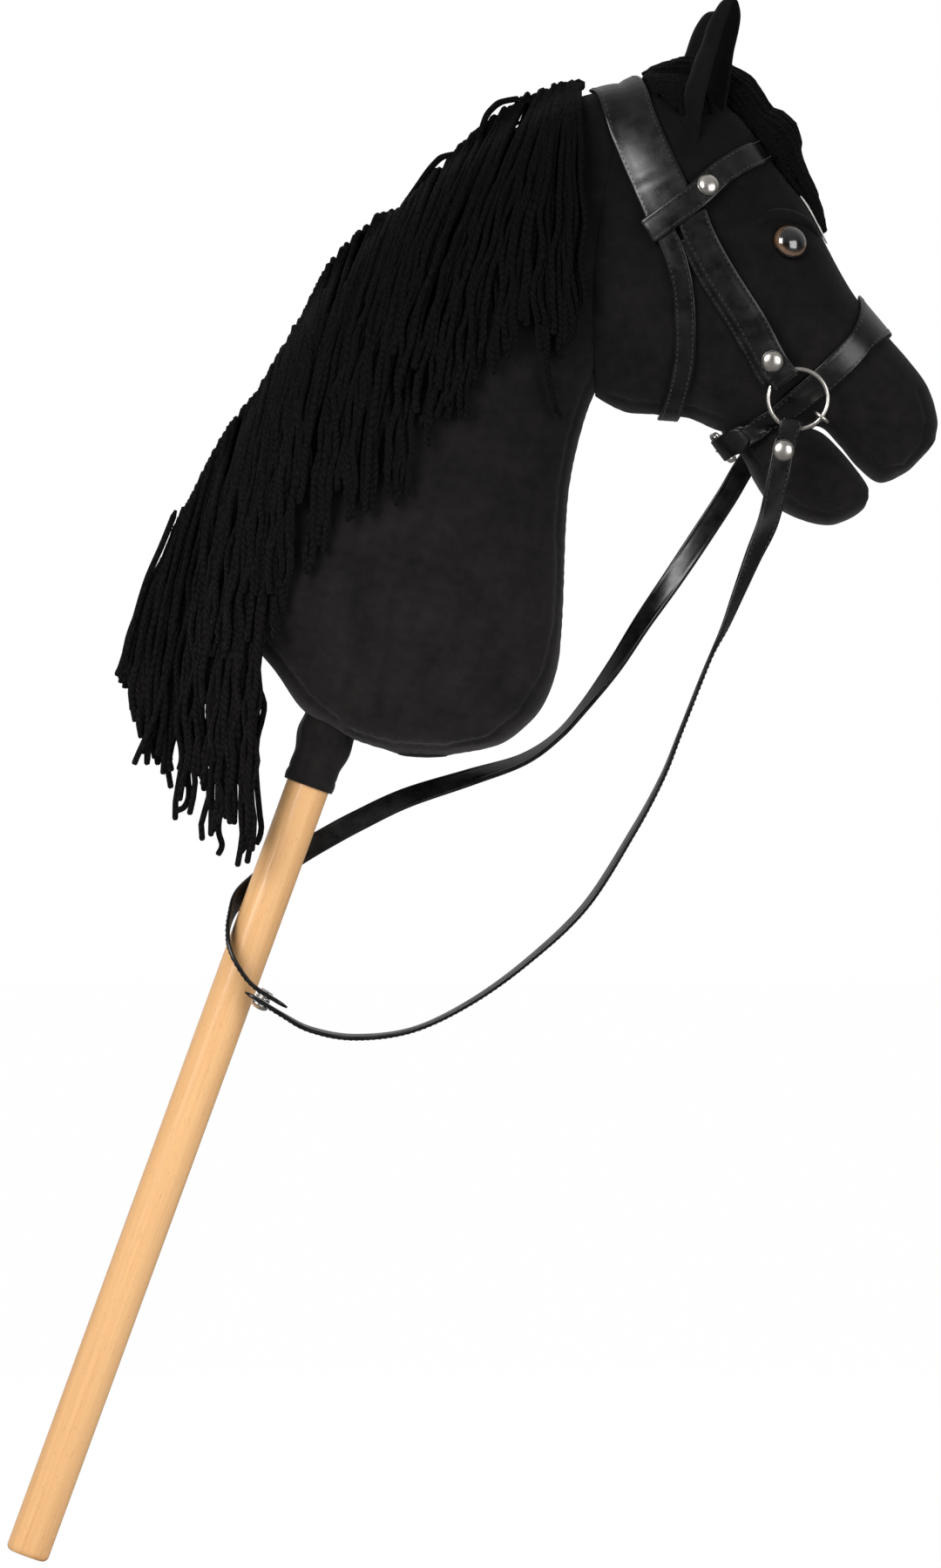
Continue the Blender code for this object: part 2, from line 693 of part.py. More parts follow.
def ear_form(side_name, side):
    """Arcs that narrow to a blunt tip, given a wall by an inner arc, on a slightly bowed spine."""
    base, tip = side_point(EAR_BASES[side_name], side), side_point(EAR_TIPS[side_name], side)
    rise = (tip - base).normalized()
    forward = Vector((0.85, side * 0.5, 0.1))
    forward = (forward - rise * forward.dot(rise)).normalized()
    sideways = rise.cross(forward)
    spine_length = (tip - base).length
    rings = []
    for i in range(EAR_RINGS):
        t = i / (EAR_RINGS - 1)
        leaf = np.interp(t, [0, 0.2, 0.45, 0.7, 1], [0.8, 0.94, 1.0, 0.84, 0.62])
        wide = EAR_WIDTH / 2 * leaf * math.sqrt(1.003 - t**6)
        wall = min(EAR_WALL, wide * 0.75)
        bow = EAR_BOW * math.sin(math.pi * min(t * 1.1, 1))
        centre = base + rise * (spine_length * t - 14 * MM * (1 - t)) - forward * bow
        outer_arc, inner_arc = [], []
        for j in range(EAR_ACROSS):
            a = math.pi + EAR_HOLLOW * (j / (EAR_ACROSS - 1) - 0.5)
            way = forward * math.cos(a) + sideways * math.sin(a)
            outer_arc.append(centre + way * wide)
            inner_arc.append(centre + way * (wide - wall))
        rings.append([tuple(p) for p in outer_arc + inner_arc[::-1]])
    rings = np.array(rings)
    faces = tube_faces(EAR_RINGS, 2 * EAR_ACROSS)
    last = (EAR_RINGS - 1) * 2 * EAR_ACROSS
    for j in range(EAR_ACROSS - 1):
        k = 2 * EAR_ACROSS - 1 - j
        faces.append((j + 1, j, k, k - 1))
        faces.append((last + j, last + j + 1, last + k - 1, last + k))
    return rings.reshape(-1, 3), faces


for side_name, side in SIDES.items():
    ear = add_object(f"{side_name}_ear", *ear_form(side_name, side), PLUSH)
    cut(ear, head_grown)


# Straps of the bridle

def over_middle(near_rows):
    """A route given from the near side to the middle line, carried on down the far side."""
    rows = [tuple(row) for row in near_rows]
    return rows + [(x, -y, z) for x, y, z in rows[-2::-1]]


def on_near_skin(pairs):
    """Near-side skin points, in millimetres, from (x, z) pairs."""
    return [tuple(seen_on(skin, x * MM, z * MM, NEAR)[0] / MM) for x, z in pairs]


def flip(points, side):
    return mirrored(points) if side == FAR else points


STRAP_LAY = GAP + STRAP_T / 2
UNDER_BAND = GAP + BROWBAND_T + GAP + STRAP_T / 2
CHEEK_LAY = GAP + LINING_T + GAP + STRAP_T / 2
BAND_HOLD = BROWBAND_WIDTH / 2 + 9 * MM
THROAT_HOLD = 32 * MM
BAND_EASE = 11 * MM

CROWN_ROUTE = over_middle([*on_near_skin([(369.3, 769.5), (366, 778), (351, 812)]), (341, -17, 838), (335.7, 0, 845)])
crown_bed = skin_bed(skin, CROWN_ROUTE, CROWN_WIDTH, 4, 5 * MM)
crown_end = crown_bed.along[-1]
along = run(0, crown_end, 7 * MM)
from_end = np.minimum(along, crown_end - along)
raised = 1 - smoothstep(BAND_HOLD, BAND_HOLD + BAND_EASE, from_end)
height = STRAP_LAY + PILE + (UNDER_BAND - STRAP_LAY - PILE) * raised
add_object("crown_strap", *strap(crown_bed, along, height, STRAP_T), LEATHER)

THROAT_ROUTE = over_middle(
    [*on_near_skin([(364.3, 761), (369.5, 752), (375.8, 730), (378, 703), (377, 682), (372.5, 664)]), (368, 0, 653)]
)
throat_bed = skin_bed(skin, THROAT_ROUTE, THROAT_WIDTH, 3, 5 * MM)
along = run(0, throat_bed.along[-1], 8 * MM)
from_end = np.minimum(along, throat_bed.along[-1] - along)
raised = 1 - smoothstep(THROAT_HOLD, THROAT_HOLD + BAND_EASE, from_end)
height = STRAP_LAY + PILE + (UNDER_BAND - STRAP_LAY - PILE) * raised
add_object("throat_lash", *strap(throat_bed, along, height, STRAP_T), LEATHER)


# Loops round the rings

RING_MARGIN = 8 * MM


def ring_line(angle, reach):
    """Points in the ring's plane on the line out from its centre, as x and z in millimetres."""
    spots = [ring_r - RING_MARGIN, ring_r, *reach]
    return [(RING_AT[0] + r / MM * math.cos(angle), RING_AT[1] + r / MM * math.sin(angle)) for r in spots]


def fold_at_ring(width, thickness):
    """Where a strap's fold starts on its bed, how far its leaves stay apart, and the fold's radius."""
    curve = ring_r - math.sqrt(ring_r**2 - (width / 2) ** 2)
    nose = RING_MARGIN - curve - 0.2 * MM
    return nose, curve + RING_WIRE / 2 + 0.6 * MM, RING_WIRE / 2 + GAP + thickness / 2


def stud_profile(post_end):
    """A rivet seen from the leather's face: post down to post_end, rim and dome above."""
    post, rim, seat = STUD_POST_D / 2, STUD_D / 2, GAP
    dome = []
    for share in (0, 0.35, 0.7):
        turn = share * math.pi / 2
        dome.append((rim * math.cos(turn), seat + STUD_RIM + STUD_DOME * math.sin(turn)))
    top = (0, seat + STUD_RIM + STUD_DOME)
    return [(0, post_end), (post, post_end), (post, seat), (rim - 0.5 * MM, seat), *dome, top]


def on_leaf(bed, along, top_at):
    """The point on a leaf's outer face and the direction square to it, from its height along the bed."""
    reach = STUD_D / 2
    spots = np.array([along - reach, along, along + reach])
    back, here, ahead = bed.middle(spots, np.array([top_at(s) for s in spots]))
    out = bed.middle(along, top_at(along) + 1 * MM)[0] - here
    tangent = unit(ahead - back)
    out = unit(out - tangent * np.dot(out, tangent))
    level = tangent * np.dot(here - back, tangent) + back
    over = max(np.dot(level - here, out), 0.0)
    return here + out * over, out


def add_stud(name, bed, along, top_at, depth, cut_from, side):
    """A stud square to a leaf's outer face, its post going depth below it through the named straps."""
    spot, out = on_leaf(bed, along, top_at)
    spot, out = flip(spot, side), flip(out, side)
    add_object(name, *turned(stud_profile(-depth), 12, spot, out), NICKEL)
    cutter = add_cutter(f"cut_{name}", *rod(spot - out * (depth + 3 * MM), spot + out * 3 * MM, STUD_POST_D / 2 + GAP, 8))
    for strap_object in cut_from:
        cut(strap_object, cutter)


def heights_of(along, height):
    """The height of the outer leaf at a distance along, from a run that turns back once."""
    turn = int(np.argmin(along))
    return lambda spot: float(np.interp(spot, along[turn:], height[turn:]))


# Cheek straps, each looped round its ring and closed by a stud, with a lining under them

CHEEK_ANGLE = math.radians(125)
CHEEK_ROUTE = ((415.2, 706.2), (397.5, 734), (386.5, 754), (380.8, 768.2))
CHEEK_STUD_AT = RING_MARGIN + 9 * MM
CHEEK_TAIL = CHEEK_STUD_AT + 8 * MM


def cheek_bed(width, rows):
    """The near cheek strap's bed: flat in the ring's plane, then lifted clear of the skin by the lower leaf."""
    outline = ring_line(CHEEK_ANGLE, [ring_r + 8 * MM]) + list(CHEEK_ROUTE)
    line = evenly(Smooth([(x * MM, -RING_OFFSET, z * MM) for x, z in outline]).sample(300), 4 * MM)
    across = unit(np.cross(np.gradient(line, axis=0), [0, -1, 0]))
    flat = line[:, None] + across[:, None] * (np.linspace(-0.5, 0.5, rows) * width)[None, :, None]
    out, facing = np.zeros(flat.shape[:2]), np.zeros(flat.shape)
    for index in np.ndindex(*out.shape):
        spot, turn, _, _ = skin.ray_cast(Vector((flat[index][0], -0.4, flat[index][2])), Vector((0, 1, 0)))
        out[index] = -spot.y
        facing[index] = turn
    along = lengths_along(line)[:, None]
    lift = (CHEEK_LAY - STRAP_T / 2 + STRAP_T + GAP / 2 + GAP) * (1 - smoothstep(CHEEK_TAIL, CHEEK_TAIL + 20 * MM, along))
    free = RING_OFFSET - (out + lift)
    clear = out + lift + (free + np.sqrt(free**2 + MM**2)) / 2
    laid = smoothstep(RING_MARGIN + 3 * MM, RING_MARGIN + 13 * MM, along)
    points = flat.copy()
    points[..., 1] = -(RING_OFFSET * (1 - laid) + clear * laid)
    turned_in = smoothstep(RING_MARGIN + 8 * MM, CHEEK_TAIL + 15 * MM, along)[..., None]
    turns = unit(np.array([0, -1, 0]) * (1 - turned_in) + soften(facing, 4) * turned_in)
    return Bed(points, turns, across)


def cheek_run(bed, thickness):
    nose, leaf, radius = fold_at_ring(CHEEK_WIDTH, thickness)
    flat, closed = nose + leaf, CHEEK_STUD_AT + 7 * MM
    pinch = thickness / 2 + GAP / 2
    end = bed.along[-1]
    fold_along, fold_height = turn_back(nose, 0.0, radius, -1, 6)
    under = np.array([CHEEK_TAIL, flat, nose])
    under_height = -np.interp(under, [flat, closed], [radius, pinch])
    over = np.concatenate([[nose, flat], run(closed, end, 5.5 * MM)])
    over_height = np.interp(over, [flat, closed], [radius, pinch])
    over_height += (CHEEK_LAY - pinch) * smoothstep(closed, CHEEK_TAIL + 20 * MM, over)
    raised = 1 - smoothstep(BAND_HOLD, BAND_HOLD + BAND_EASE, end - over)
    over_height += (UNDER_BAND - CHEEK_LAY) * raised
    along = np.concatenate([under[:-1], fold_along, over[1:]])
    return along, np.concatenate([under_height[:-1], fold_height, over_height[1:]])


cheek = cheek_bed(CHEEK_WIDTH, 4)
cheek_along, cheek_height = cheek_run(cheek, STRAP_T)
cheek_points, cheek_faces = strap(cheek, cheek_along, cheek_height, STRAP_T)
cheek_top = heights_of(cheek_along, cheek_height + STRAP_T / 2)

LINING_ROUTE = ((420, 691), (408, 712.5), (397.5, 731), (389, 747.5), (383.8, 758.5))
lining_bed = skin_bed(skin, on_near_skin(LINING_ROUTE), LINING_WIDTH, 4, 5 * MM, shift=-LINING_SHIFT)
along = run(0, lining_bed.along[-1], 7 * MM)
lining_points, lining_faces = strap(lining_bed, along, GAP + LINING_T / 2 + 0 * along, LINING_T)

for side_name, side in SIDES.items():
    cheek_object = add_object(f"{side_name}_cheek_strap", flip(cheek_points, side), cheek_faces, LEATHER)
    add_object(f"{side_name}_cheek_lining", flip(lining_points, side), lining_faces, LEATHER)
    add_stud(f"{side_name}_cheek_stud", cheek, CHEEK_STUD_AT, cheek_top, 5.5 * MM, [cheek_object], side)


# Browband, folded round the crown strap at both ends and closed by a stud

BROW_STUD_AT = (390.5, 783.5)
BROW_ROUTE = over_middle(
    [*on_near_skin([(345, 750), (357, 758), (372, 768.5), (385, 777.5), (396, 788), (409, 799)]), (421, 0, 811)]
)
brow_bed = skin_bed(skin, BROW_ROUTE, BROWBAND_WIDTH, 4, 4 * MM)
brow_length = brow_bed.along[-1]
throat_end = throat_bed.points[0].mean(axis=0)
crown_edges = crown_bed.points[0]
left_edge = crown_edges[np.argmin(crown_edges[:, 0])]
fold = brow_bed.nearest_along(left_edge, 0, 0.4) - 1.5 * MM
stud_spot = seen_on(skin, BROW_STUD_AT[0] * MM, BROW_STUD_AT[1] * MM, NEAR)[0]
brow_stud = brow_bed.nearest_along(stud_spot, 0, 0.45)
low_leaf = GAP + BROWBAND_T / 2
high_leaf = UNDER_BAND + STRAP_T / 2 + GAP + BROWBAND_T / 2
stacked = low_leaf + BROWBAND_T + GAP
tail = brow_stud + 7.5 * MM
fold_along, fold_height = turn_back(fold, (low_leaf + high_leaf) / 2, (high_leaf - low_leaf) / 2, -1, 5)
under = run(tail, fold, 8 * MM)
over = run(fold, brow_length / 2, 6 * MM)
over_height = np.interp(over, [brow_stud - 8 * MM, brow_stud + 6 * MM], [high_leaf, stacked])
over_height += (low_leaf - stacked) * smoothstep(tail, tail + 10 * MM, over)
brow_top = heights_of(over, over_height + BROWBAND_T / 2)
along = np.concatenate([under[:-1], fold_along, over[1:]])
height = np.concatenate([low_leaf + 0 * under[:-1], fold_height, over_height[1:]])
along = np.concatenate([along, brow_length - along[-2::-1]])
height = np.concatenate([height, height[-2::-1]])
browband = add_object("browband", *strap(brow_bed, along, height, BROWBAND_T), LEATHER)
for side_name, side in SIDES.items():
    post = stacked + BROWBAND_T / 2 - GAP
    add_stud(f"{side_name}_brow_stud", brow_bed, brow_stud, brow_top, post, [browband], side)


# Noseband, closed by a buckle under the chin

NOSE_T = 1.8 * MM
NOSE_LAY = GAP + 2 * PILE + NOSE_T / 2
HEEL_H, FRONT_H = 3.9 * MM, 6.2 * MM
TONGUE_LENGTH = 18 * MM
CHAPE_TAIL = 17 * MM
NOSE_SIDE = [*on_near_skin([(430, 653.5), (443, 664), (456.5, 674.5), (468.5, 685.5)]), (486.5, 0, 712)]
CHIN = [(402, 0, 639), (404, -12, 638.5), (408.5, -21, 640.5), (418, -27, 646.5)]
ROUND_MUZZLE = over_middle([*CHIN, *NOSE_SIDE])
NOSE_ROUTE = [(403.5, 10, 638.5), *ROUND_MUZZLE, *CHIN[1:], *on_near_skin([(430, 653.5)])]


def noseband_width(share):
    """Widest over the bridge and narrowest at the buckle, which lies near both ends of the route."""
    bridge = 1 - smoothstep(0, 0.13, abs(share - bridge_share))
    chin = smoothstep(0.26, 0.36, abs(share - bridge_share))
    return NOSEBAND_WIDTH + (NOSEBAND_BRIDGE - NOSEBAND_WIDTH) * bridge + (NOSEBAND_CHIN - NOSEBAND_WIDTH) * chin


def flattened(bed, spots):
    """The same bed made straight across its width near some distances along it."""
    for spot in spots:
        share = 1 - smoothstep(15 * MM, 27 * MM, abs(bed.along - spot))[:, None, None]
        out = unit(bed.facing.mean(axis=1))[:, None]
        ends = bed.points[:, -1:] - bed.points[:, :1]
        level = bed.points.mean(axis=1, keepdims=True) + ends * np.linspace(-0.5, 0.5, bed.points.shape[1])[:, None]
        level = level + out * np.maximum(((bed.points - level) * out).sum(axis=2).max(axis=1), 0)[:, None, None]
        bed.points = bed.points * (1 - share) + level * share
        bed.facing = unit(bed.facing * (1 - share) + out * share)
    return Bed(bed.points, bed.facing, bed.across)


bridge_share = 0.46
nose_bed = skin_bed(skin, NOSE_ROUTE, noseband_width, 4, 4 * MM)
HEEL_AT = np.array([404, -13, 638.5]) * MM
heel = nose_bed.nearest_along(HEEL_AT, 0.0, 0.25)
heel_again = nose_bed.nearest_along(HEEL_AT, 0.7, 1.0)
nose_bed = flattened(nose_bed, [heel, heel_again])
chape_radius = BUCKLE_WIRE / 2 + GAP + NOSE_T / 2
bar_step = BUCKLE_LENGTH - BUCKLE_WIRE
fold_along, fold_height = turn_back(heel, HEEL_H, chape_radius, -1, 6)
chape_high = HEEL_H + chape_radius
under = run(heel + CHAPE_TAIL, heel, 6 * MM)
under_height = NOSE_LAY + (HEEL_H - chape_radius - NOSE_LAY) * (1 - smoothstep(heel, heel + 8 * MM, under))
over = run(heel, heel_again - bar_step - 14 * MM, 6.5 * MM)
flap = NOSE_LAY + NOSE_T + GAP
over_height = flap + (chape_high - flap) * (1 - smoothstep(heel + 2 * MM, heel + 14 * MM, over))
over_height += (NOSE_LAY - flap) * smoothstep(heel + CHAPE_TAIL, heel + CHAPE_TAIL + 10 * MM, over)
tongue = np.array([-14, -11, -8.3, -6.4, -4.5, -2.8, -1.2, 1.5, 6, 10, 14, 17, 19]) * MM
front_pass = FRONT_H - BUCKLE_WIRE / 2 - GAP - NOSE_T / 2 - 0.75 * MM
heel_pass = chape_high + NOSE_T + GAP + 0.25 * MM
lie = flap + NOSE_T + GAP + 0.25 * MM
tongue_height = np.interp(tongue, np.array([-14, -8.3, -2.4, 2, 14]) * MM, [front_pass, front_pass, heel_pass, heel_pass, lie])
into = heel_again - bar_step - 14 * MM
rise_height = np.array([NOSE_LAY, NOSE_LAY + 0.4 * MM])
along = np.concatenate([under[:-1], fold_along, over[1:-1], [into, into + 7 * MM], heel_again + tongue[1:]])
height = np.concatenate([under_height[:-1], fold_height, over_height[1:-1], rise_height, tongue_height[1:]])
narrow = np.interp(along, heel_again + np.array([14, 17, 19]) * MM, [1, 0.8, 0.35])
noseband = add_object("noseband", *strap(nose_bed, along, height, NOSE_T, narrow), LEATHER)


def buckle_axes():
    """The buckle's place: heel bar point, and its lengthwise, outward and crosswise directions."""
    ends = nose_bed.middle(np.array([heel, heel - bar_step]), np.array([HEEL_H, FRONT_H]))
    lift = nose_bed.middle(heel - bar_step / 2, 5 * MM)[0] - nose_bed.middle(heel - bar_step / 2, 0)[0]
    length = unit(ends[1] - ends[0])
    out = unit(lift - length * np.dot(lift, length))
    return ends[0], length, out, np.cross(length, out)


def wire_path(points, radius, sides, closed):
    """A wire of round section swept along points, closed on itself or with flat ends."""
    points = np.asarray(points, float)
    if closed:
        tangent = unit(np.roll(points, -1, axis=0) - np.roll(points, 1, axis=0))
    else:
        tangent = unit(np.gradient(points, axis=0))
    angle = np.linspace(0, 2 * math.pi, round(sides), endpoint=False)
    first = unit(np.cross(tangent, wire_normal))
    second = np.cross(tangent, first)
    rings = points[:, None] + radius * (np.cos(angle)[:, None] * first[:, None] + np.sin(angle)[:, None] * second[:, None])
    if closed:
        return rings.reshape(-1, 3), tube_faces(len(points), sides, closed_path=True)
    return capped_tube(rings, points[0], points[-1])


heel_point, lengthwise, wire_normal, crosswise = buckle_axes()
half = BUCKLE_WIDTH / 2 - BUCKLE_WIRE / 2
corner = 2.2 * MM
frame_path = []
for x, y, first_turn in ((bar_step, half, 0), (bar_step, -half, 3), (0, -half, 2), (0, half, 1)):
    inner_x = x - corner * (1 if x else -1)
    inner_y = y - corner * (1 if y > 0 else -1)
    turns = {0: (90, 0), 3: (0, -90), 2: (-90, -180), 1: (180, 90)}[first_turn]
    for degrees in np.linspace(*turns, 4):
        turn = math.radians(degrees)
        spot = (inner_x + corner * math.cos(turn), inner_y + corner * math.sin(turn))
        frame_path.append(heel_point + lengthwise * spot[0] + crosswise * spot[1])
add_object("buckle_frame", *wire_path(frame_path, BUCKLE_WIRE / 2, 8, True), NICKEL)

PRONG_WIRE = 1.6 * MM
prong_r = BUCKLE_WIRE / 2 + 0.3 * MM + PRONG_WIRE / 2


def block(at, axes, low, high):
    """A box between two corners given along three directions from a point."""
    corners = []
    for z in (low[2], high[2]):
        for x, y in ((low[0], low[1]), (high[0], low[1]), (high[0], high[1]), (low[0], high[1])):
            corners.append(at + axes[0] * x + axes[1] * y + axes[2] * z)
    faces = [(0, 3, 2, 1), (4, 5, 6, 7), (0, 1, 5, 4), (1, 2, 6, 5), (2, 3, 7, 6), (3, 0, 4, 7)]
    return corners, faces


buckle_prong = add_object("buckle_prong", *wire_ring(prong_r, PRONG_WIRE, heel_point, crosswise, 14, 6), NICKEL)
shaft_start = heel_point + wire_normal * prong_r * 0.97 + lengthwise * 0.2 * MM
shaft_end = heel_point + lengthwise * (bar_step + 1.6 * MM) + wire_normal * prong_r
cut(buckle_prong, add_cutter("join_prong_shaft", *rod(shaft_start, shaft_end, PRONG_WIRE / 2, 8)), "UNION")
axes = (lengthwise, crosswise, wire_normal)
slot = PRONG_WIRE / 2 + 0.45 * MM
fold_out = chape_radius + NOSE_T / 2 + 0.4 * MM
fold_slot = block(heel_point, axes, (-fold_out, -slot, -fold_out), (fold_out, slot, fold_out - 0.1 * MM))
tongue_slot = block(heel_point, axes, (0.2 * MM, -slot, 0), (9.8 * MM, slot, 8 * MM))
cut(noseband, add_cutter("cut_fold_slot", *fold_slot))
cut(noseband, add_cutter("cut_tongue_slot", *tongue_slot))


# Reins: each looped round its ring, hanging free to the press-stud

REIN_PINCH = REIN_T / 2 + GAP / 2
REIN_STUD_AT = RING_MARGIN + 13.7 * MM
REIN_TAIL = REIN_STUD_AT + 8 * MM
SNAP_AT = Vector((135.0, -19.0, 318.3)) * MM
SNAP_AXIS = Vector((0.522, 0, 0.853))
NEAR_REIN_ANGLE = math.radians(-105.7)
FAR_REIN_ANGLE = math.radians(-128.3)
out_y = RING_OFFSET / MM

# Middle line of the near rein: x, y, z in millimetres, and its turn from facing sideways, in degrees
NEAR_REIN = (
    (433.5, -out_y, 633.5, 0), (429.5, -out_y, 613, 6), (425, -47.5, 593, 16), (416.5, -45, 573, 44),
    (408.5, -43, 553, 61), (400.5, -41, 533, 77), (391, -39, 513, 88), (375.5, -36, 474, 90),
    (364.5, -34, 446.5, 90), (347.5, -32, 415, 90), (320.5, -29.5, 373, 90), (287.5, -26.5, 341.5, 90),
    (254, -24, 317.5, 90), (221, -22, 302, 90), (188, -20.5, 298, 90), (163, -19.5, 302.5, 90),
    (147, -19, 310.9, 90), (135, -19, 318.3, 90), (126, -19, 323.7, 90),
)
# The same of the far rein as far as the stick, then x, y, z and the direction it faces
FAR_REIN = (
    (414, out_y, 627.5, 0), (403, 48.5, 609, 0), (390, 48.5, 589, 4), (372, 49.5, 562, 20), (354, 51, 536, 38),
    (338, 52, 511, 50), (320, 52, 487, 68), (305, 51, 470.5, 72), (285, 48, 457, 62), (255, 42, 447, 44),
    (218, 33, 435, 26), (190.5, 27, 422, 14),
)
ROUND_STICK = (
    (172, 23, 412, 0.1, 1, 0), (156, 21.5, 402.5, 0.1, 1, 0), (143, 20.3, 394, -0.2, 0.97, 0),
    (131.5, 14.5, 385.5, -0.62, 0.78, 0), (121.3, 5, 376, -0.93, 0.3, 0), (117.2, -4, 365.5, -0.98, -0.2, 0),
    (118.5, -12.5, 354, -0.72, -0.7, 0.1), (119.5, -17.5, 343.5, -0.35, -0.9, 0.25),
    (125, -19.3, 333.5, 0.2, -0.62, 0.6), (132, -19.2, 326.6, 0.45, -0.2, 0.8), (137.6, -19, 322.5, 0.522, 0, 0.853),
    (143.2, -19, 319.1, 0.522, 0, 0.853), (150, -19, 314.9, 0.522, 0, 0.853),
)


def twisted(rows, side):
    """Adds the facing direction to rows of x, y, z and turn."""
    rows = np.array(rows, float)
    tangent = unit(np.gradient(rows[:, :3], axis=0))
    outward = np.array([0, side, 0]) - tangent * (tangent[:, 1] * side)[:, None]
    below = unit(np.stack([-tangent[:, 2], 0 * tangent[:, 0], tangent[:, 0]], axis=1))
    turn = np.radians(rows[:, 3])[:, None]
    return np.hstack([rows[:, :3], unit(outward) * np.cos(turn) + below * np.sin(turn)])


def rein_bed(angle, side, rows):
    start = [(x, side * out_y, z, 0, side, 0) for x, z in ring_line(angle, [ring_r + 7 * MM])]
    table = np.vstack([start, rows])
    table = evenly(Smooth(table).sample(600), 2 * MM)
    line, facing = table[:, :3] * MM, soften(table[:, 3:], 2)
    tangent = unit(np.gradient(line, axis=0))
    facing = unit(facing - tangent * (facing * tangent).sum(axis=1)[:, None])
    across = unit(np.cross(tangent, facing))
    return Bed(flat_rows(line, across, REIN_WIDTH, 2), np.repeat(facing[:, None], 2, axis=1), across)


def rein_run(bed, closed_at):
    nose, leaf, radius = fold_at_ring(REIN_WIDTH, REIN_T)
    flat = nose + leaf
    fold_along, fold_height = turn_back(nose, 0.0, radius, -1, 6)
    under = np.array([REIN_TAIL, closed_at, flat, nose])
    under_height = -np.interp(under, [flat, closed_at], [radius, REIN_PINCH])
    over = np.concatenate([[nose, flat], run(closed_at, bed.along[-1], 9 * MM)])
    over_height = np.interp(over, [flat, closed_at], [radius, REIN_PINCH])
    over_height -= REIN_PINCH * smoothstep(REIN_TAIL + 3 * MM, REIN_TAIL + 30 * MM, over)
    along = np.concatenate([under[:-1], fold_along, over[1:]])
    return along, np.concatenate([under_height[:-1], fold_height, over_height[1:]])


far_rows = np.vstack([twisted(FAR_REIN, FAR), ROUND_STICK])
rein_beds = {
    "near": rein_bed(NEAR_REIN_ANGLE, NEAR, twisted(NEAR_REIN, NEAR)),
    "far": rein_bed(FAR_REIN_ANGLE, FAR, far_rows),
}
reins = {}
for side_name, side in SIDES.items():
    bed = rein_beds[side_name]
    along, height = rein_run(bed, REIN_STUD_AT - 6.5 * MM)
    narrow = np.interp(along, bed.along[-1] - np.array([6, 0]) * MM, [1, 0.45])
    reins[side_name] = add_object(f"{side_name}_rein", *strap(bed, along, height, REIN_T, narrow), LEATHER)
    top_at = heights_of(along, height + REIN_T / 2)
    depth = 2 * REIN_T + 0.8 * MM
    add_stud(f"{side_name}_rein_stud", bed, REIN_STUD_AT, top_at, depth, [reins[side_name]], NEAR)


# Press-stud: cap and socket on the near rein, ball and post on the far rein

SOCKET_AT = REIN_T / 2 + 0.3 * MM
STUD_FLANGE_AT = SOCKET_AT + SNAP_SOCKET_T + 0.3 * MM
FAR_REIN_AT = STUD_FLANGE_AT + SNAP_FLANGE_T + 0.3 * MM
POST_FLANGE_AT = FAR_REIN_AT + REIN_T + 0.3 * MM
cap_r, post_r = SNAP_CAP_D / 2, SNAP_POST_D / 2
ball_r, socket_r = SNAP_BALL_D / 2, SNAP_SOCKET_D / 2
cap_seat = -REIN_T / 2 - 0.3 * MM
cap = [(0, cap_seat - SNAP_DOME), (cap_r * 0.6, cap_seat - SNAP_DOME * 0.8), (cap_r, cap_seat - 0.6 * MM),
       (cap_r, cap_seat), (post_r, cap_seat), (post_r, SOCKET_AT - 0.3 * MM), (0, SOCKET_AT - 0.3 * MM)]
add_object("snap_cap", *turned(cap, 14, SNAP_AT, SNAP_AXIS), NICKEL)
socket = [(ball_r + 0.35 * MM, SOCKET_AT), (socket_r, SOCKET_AT), (socket_r, SOCKET_AT + SNAP_SOCKET_T),
          (ball_r + 0.35 * MM, SOCKET_AT + SNAP_SOCKET_T)]
add_object("snap_socket", *turned_ring(socket, 14, SNAP_AT, SNAP_AXIS), NICKEL)
flange_r = socket_r - 0.2 * MM
ball = [(0, SOCKET_AT), (ball_r, SOCKET_AT + 0.4 * MM), (ball_r, STUD_FLANGE_AT), (flange_r, STUD_FLANGE_AT),
        (flange_r, STUD_FLANGE_AT + SNAP_FLANGE_T), (0, STUD_FLANGE_AT + SNAP_FLANGE_T)]
add_object("snap_stud", *turned(ball, 14, SNAP_AT, SNAP_AXIS), NICKEL)
post_foot = STUD_FLANGE_AT + SNAP_FLANGE_T + 0.3 * MM
post_top = POST_FLANGE_AT + 0.8 * MM
post = [(0, post_foot), (post_r - 0.1 * MM, post_foot), (post_r - 0.1 * MM, POST_FLANGE_AT),
        (socket_r - 0.5 * MM, POST_FLANGE_AT), (socket_r - 0.5 * MM, post_top - 0.3 * MM), (0, post_top)]
add_object("snap_post", *turned(post, 14, SNAP_AT, SNAP_AXIS), NICKEL)
for side_name, low, high in (("near", -4 * MM, SOCKET_AT), ("far", post_foot - 0.6 * MM, POST_FLANGE_AT + 2 * MM)):
    hole = rod(SNAP_AT + SNAP_AXIS * low, SNAP_AT + SNAP_AXIS * high, post_r + GAP, 10)
    cut(reins[side_name], add_cutter(f"cut_snap_{side_name}", *hole))


# White star on the forehead

STAR_ROUTE = [(x, 0, z) for x, z in ((432.5, 794), (442, 780), (452, 764), (459, 753))]
STAR_T = 0.8 * MM
star_bed = skin_bed(skin, STAR_ROUTE, lambda t: 24 * MM * (0.25 + 0.75 * np.sin(math.pi * t)), 5, 5 * MM)
along = run(0, star_bed.along[-1], 7 * MM)
add_object("forehead_star", *strap(star_bed, along, GAP + PILE + STAR_T / 2 + 0 * along, STAR_T), WHITE_PLUSH)


# Mane: a tape along the crest, and locks of yarn that part over it

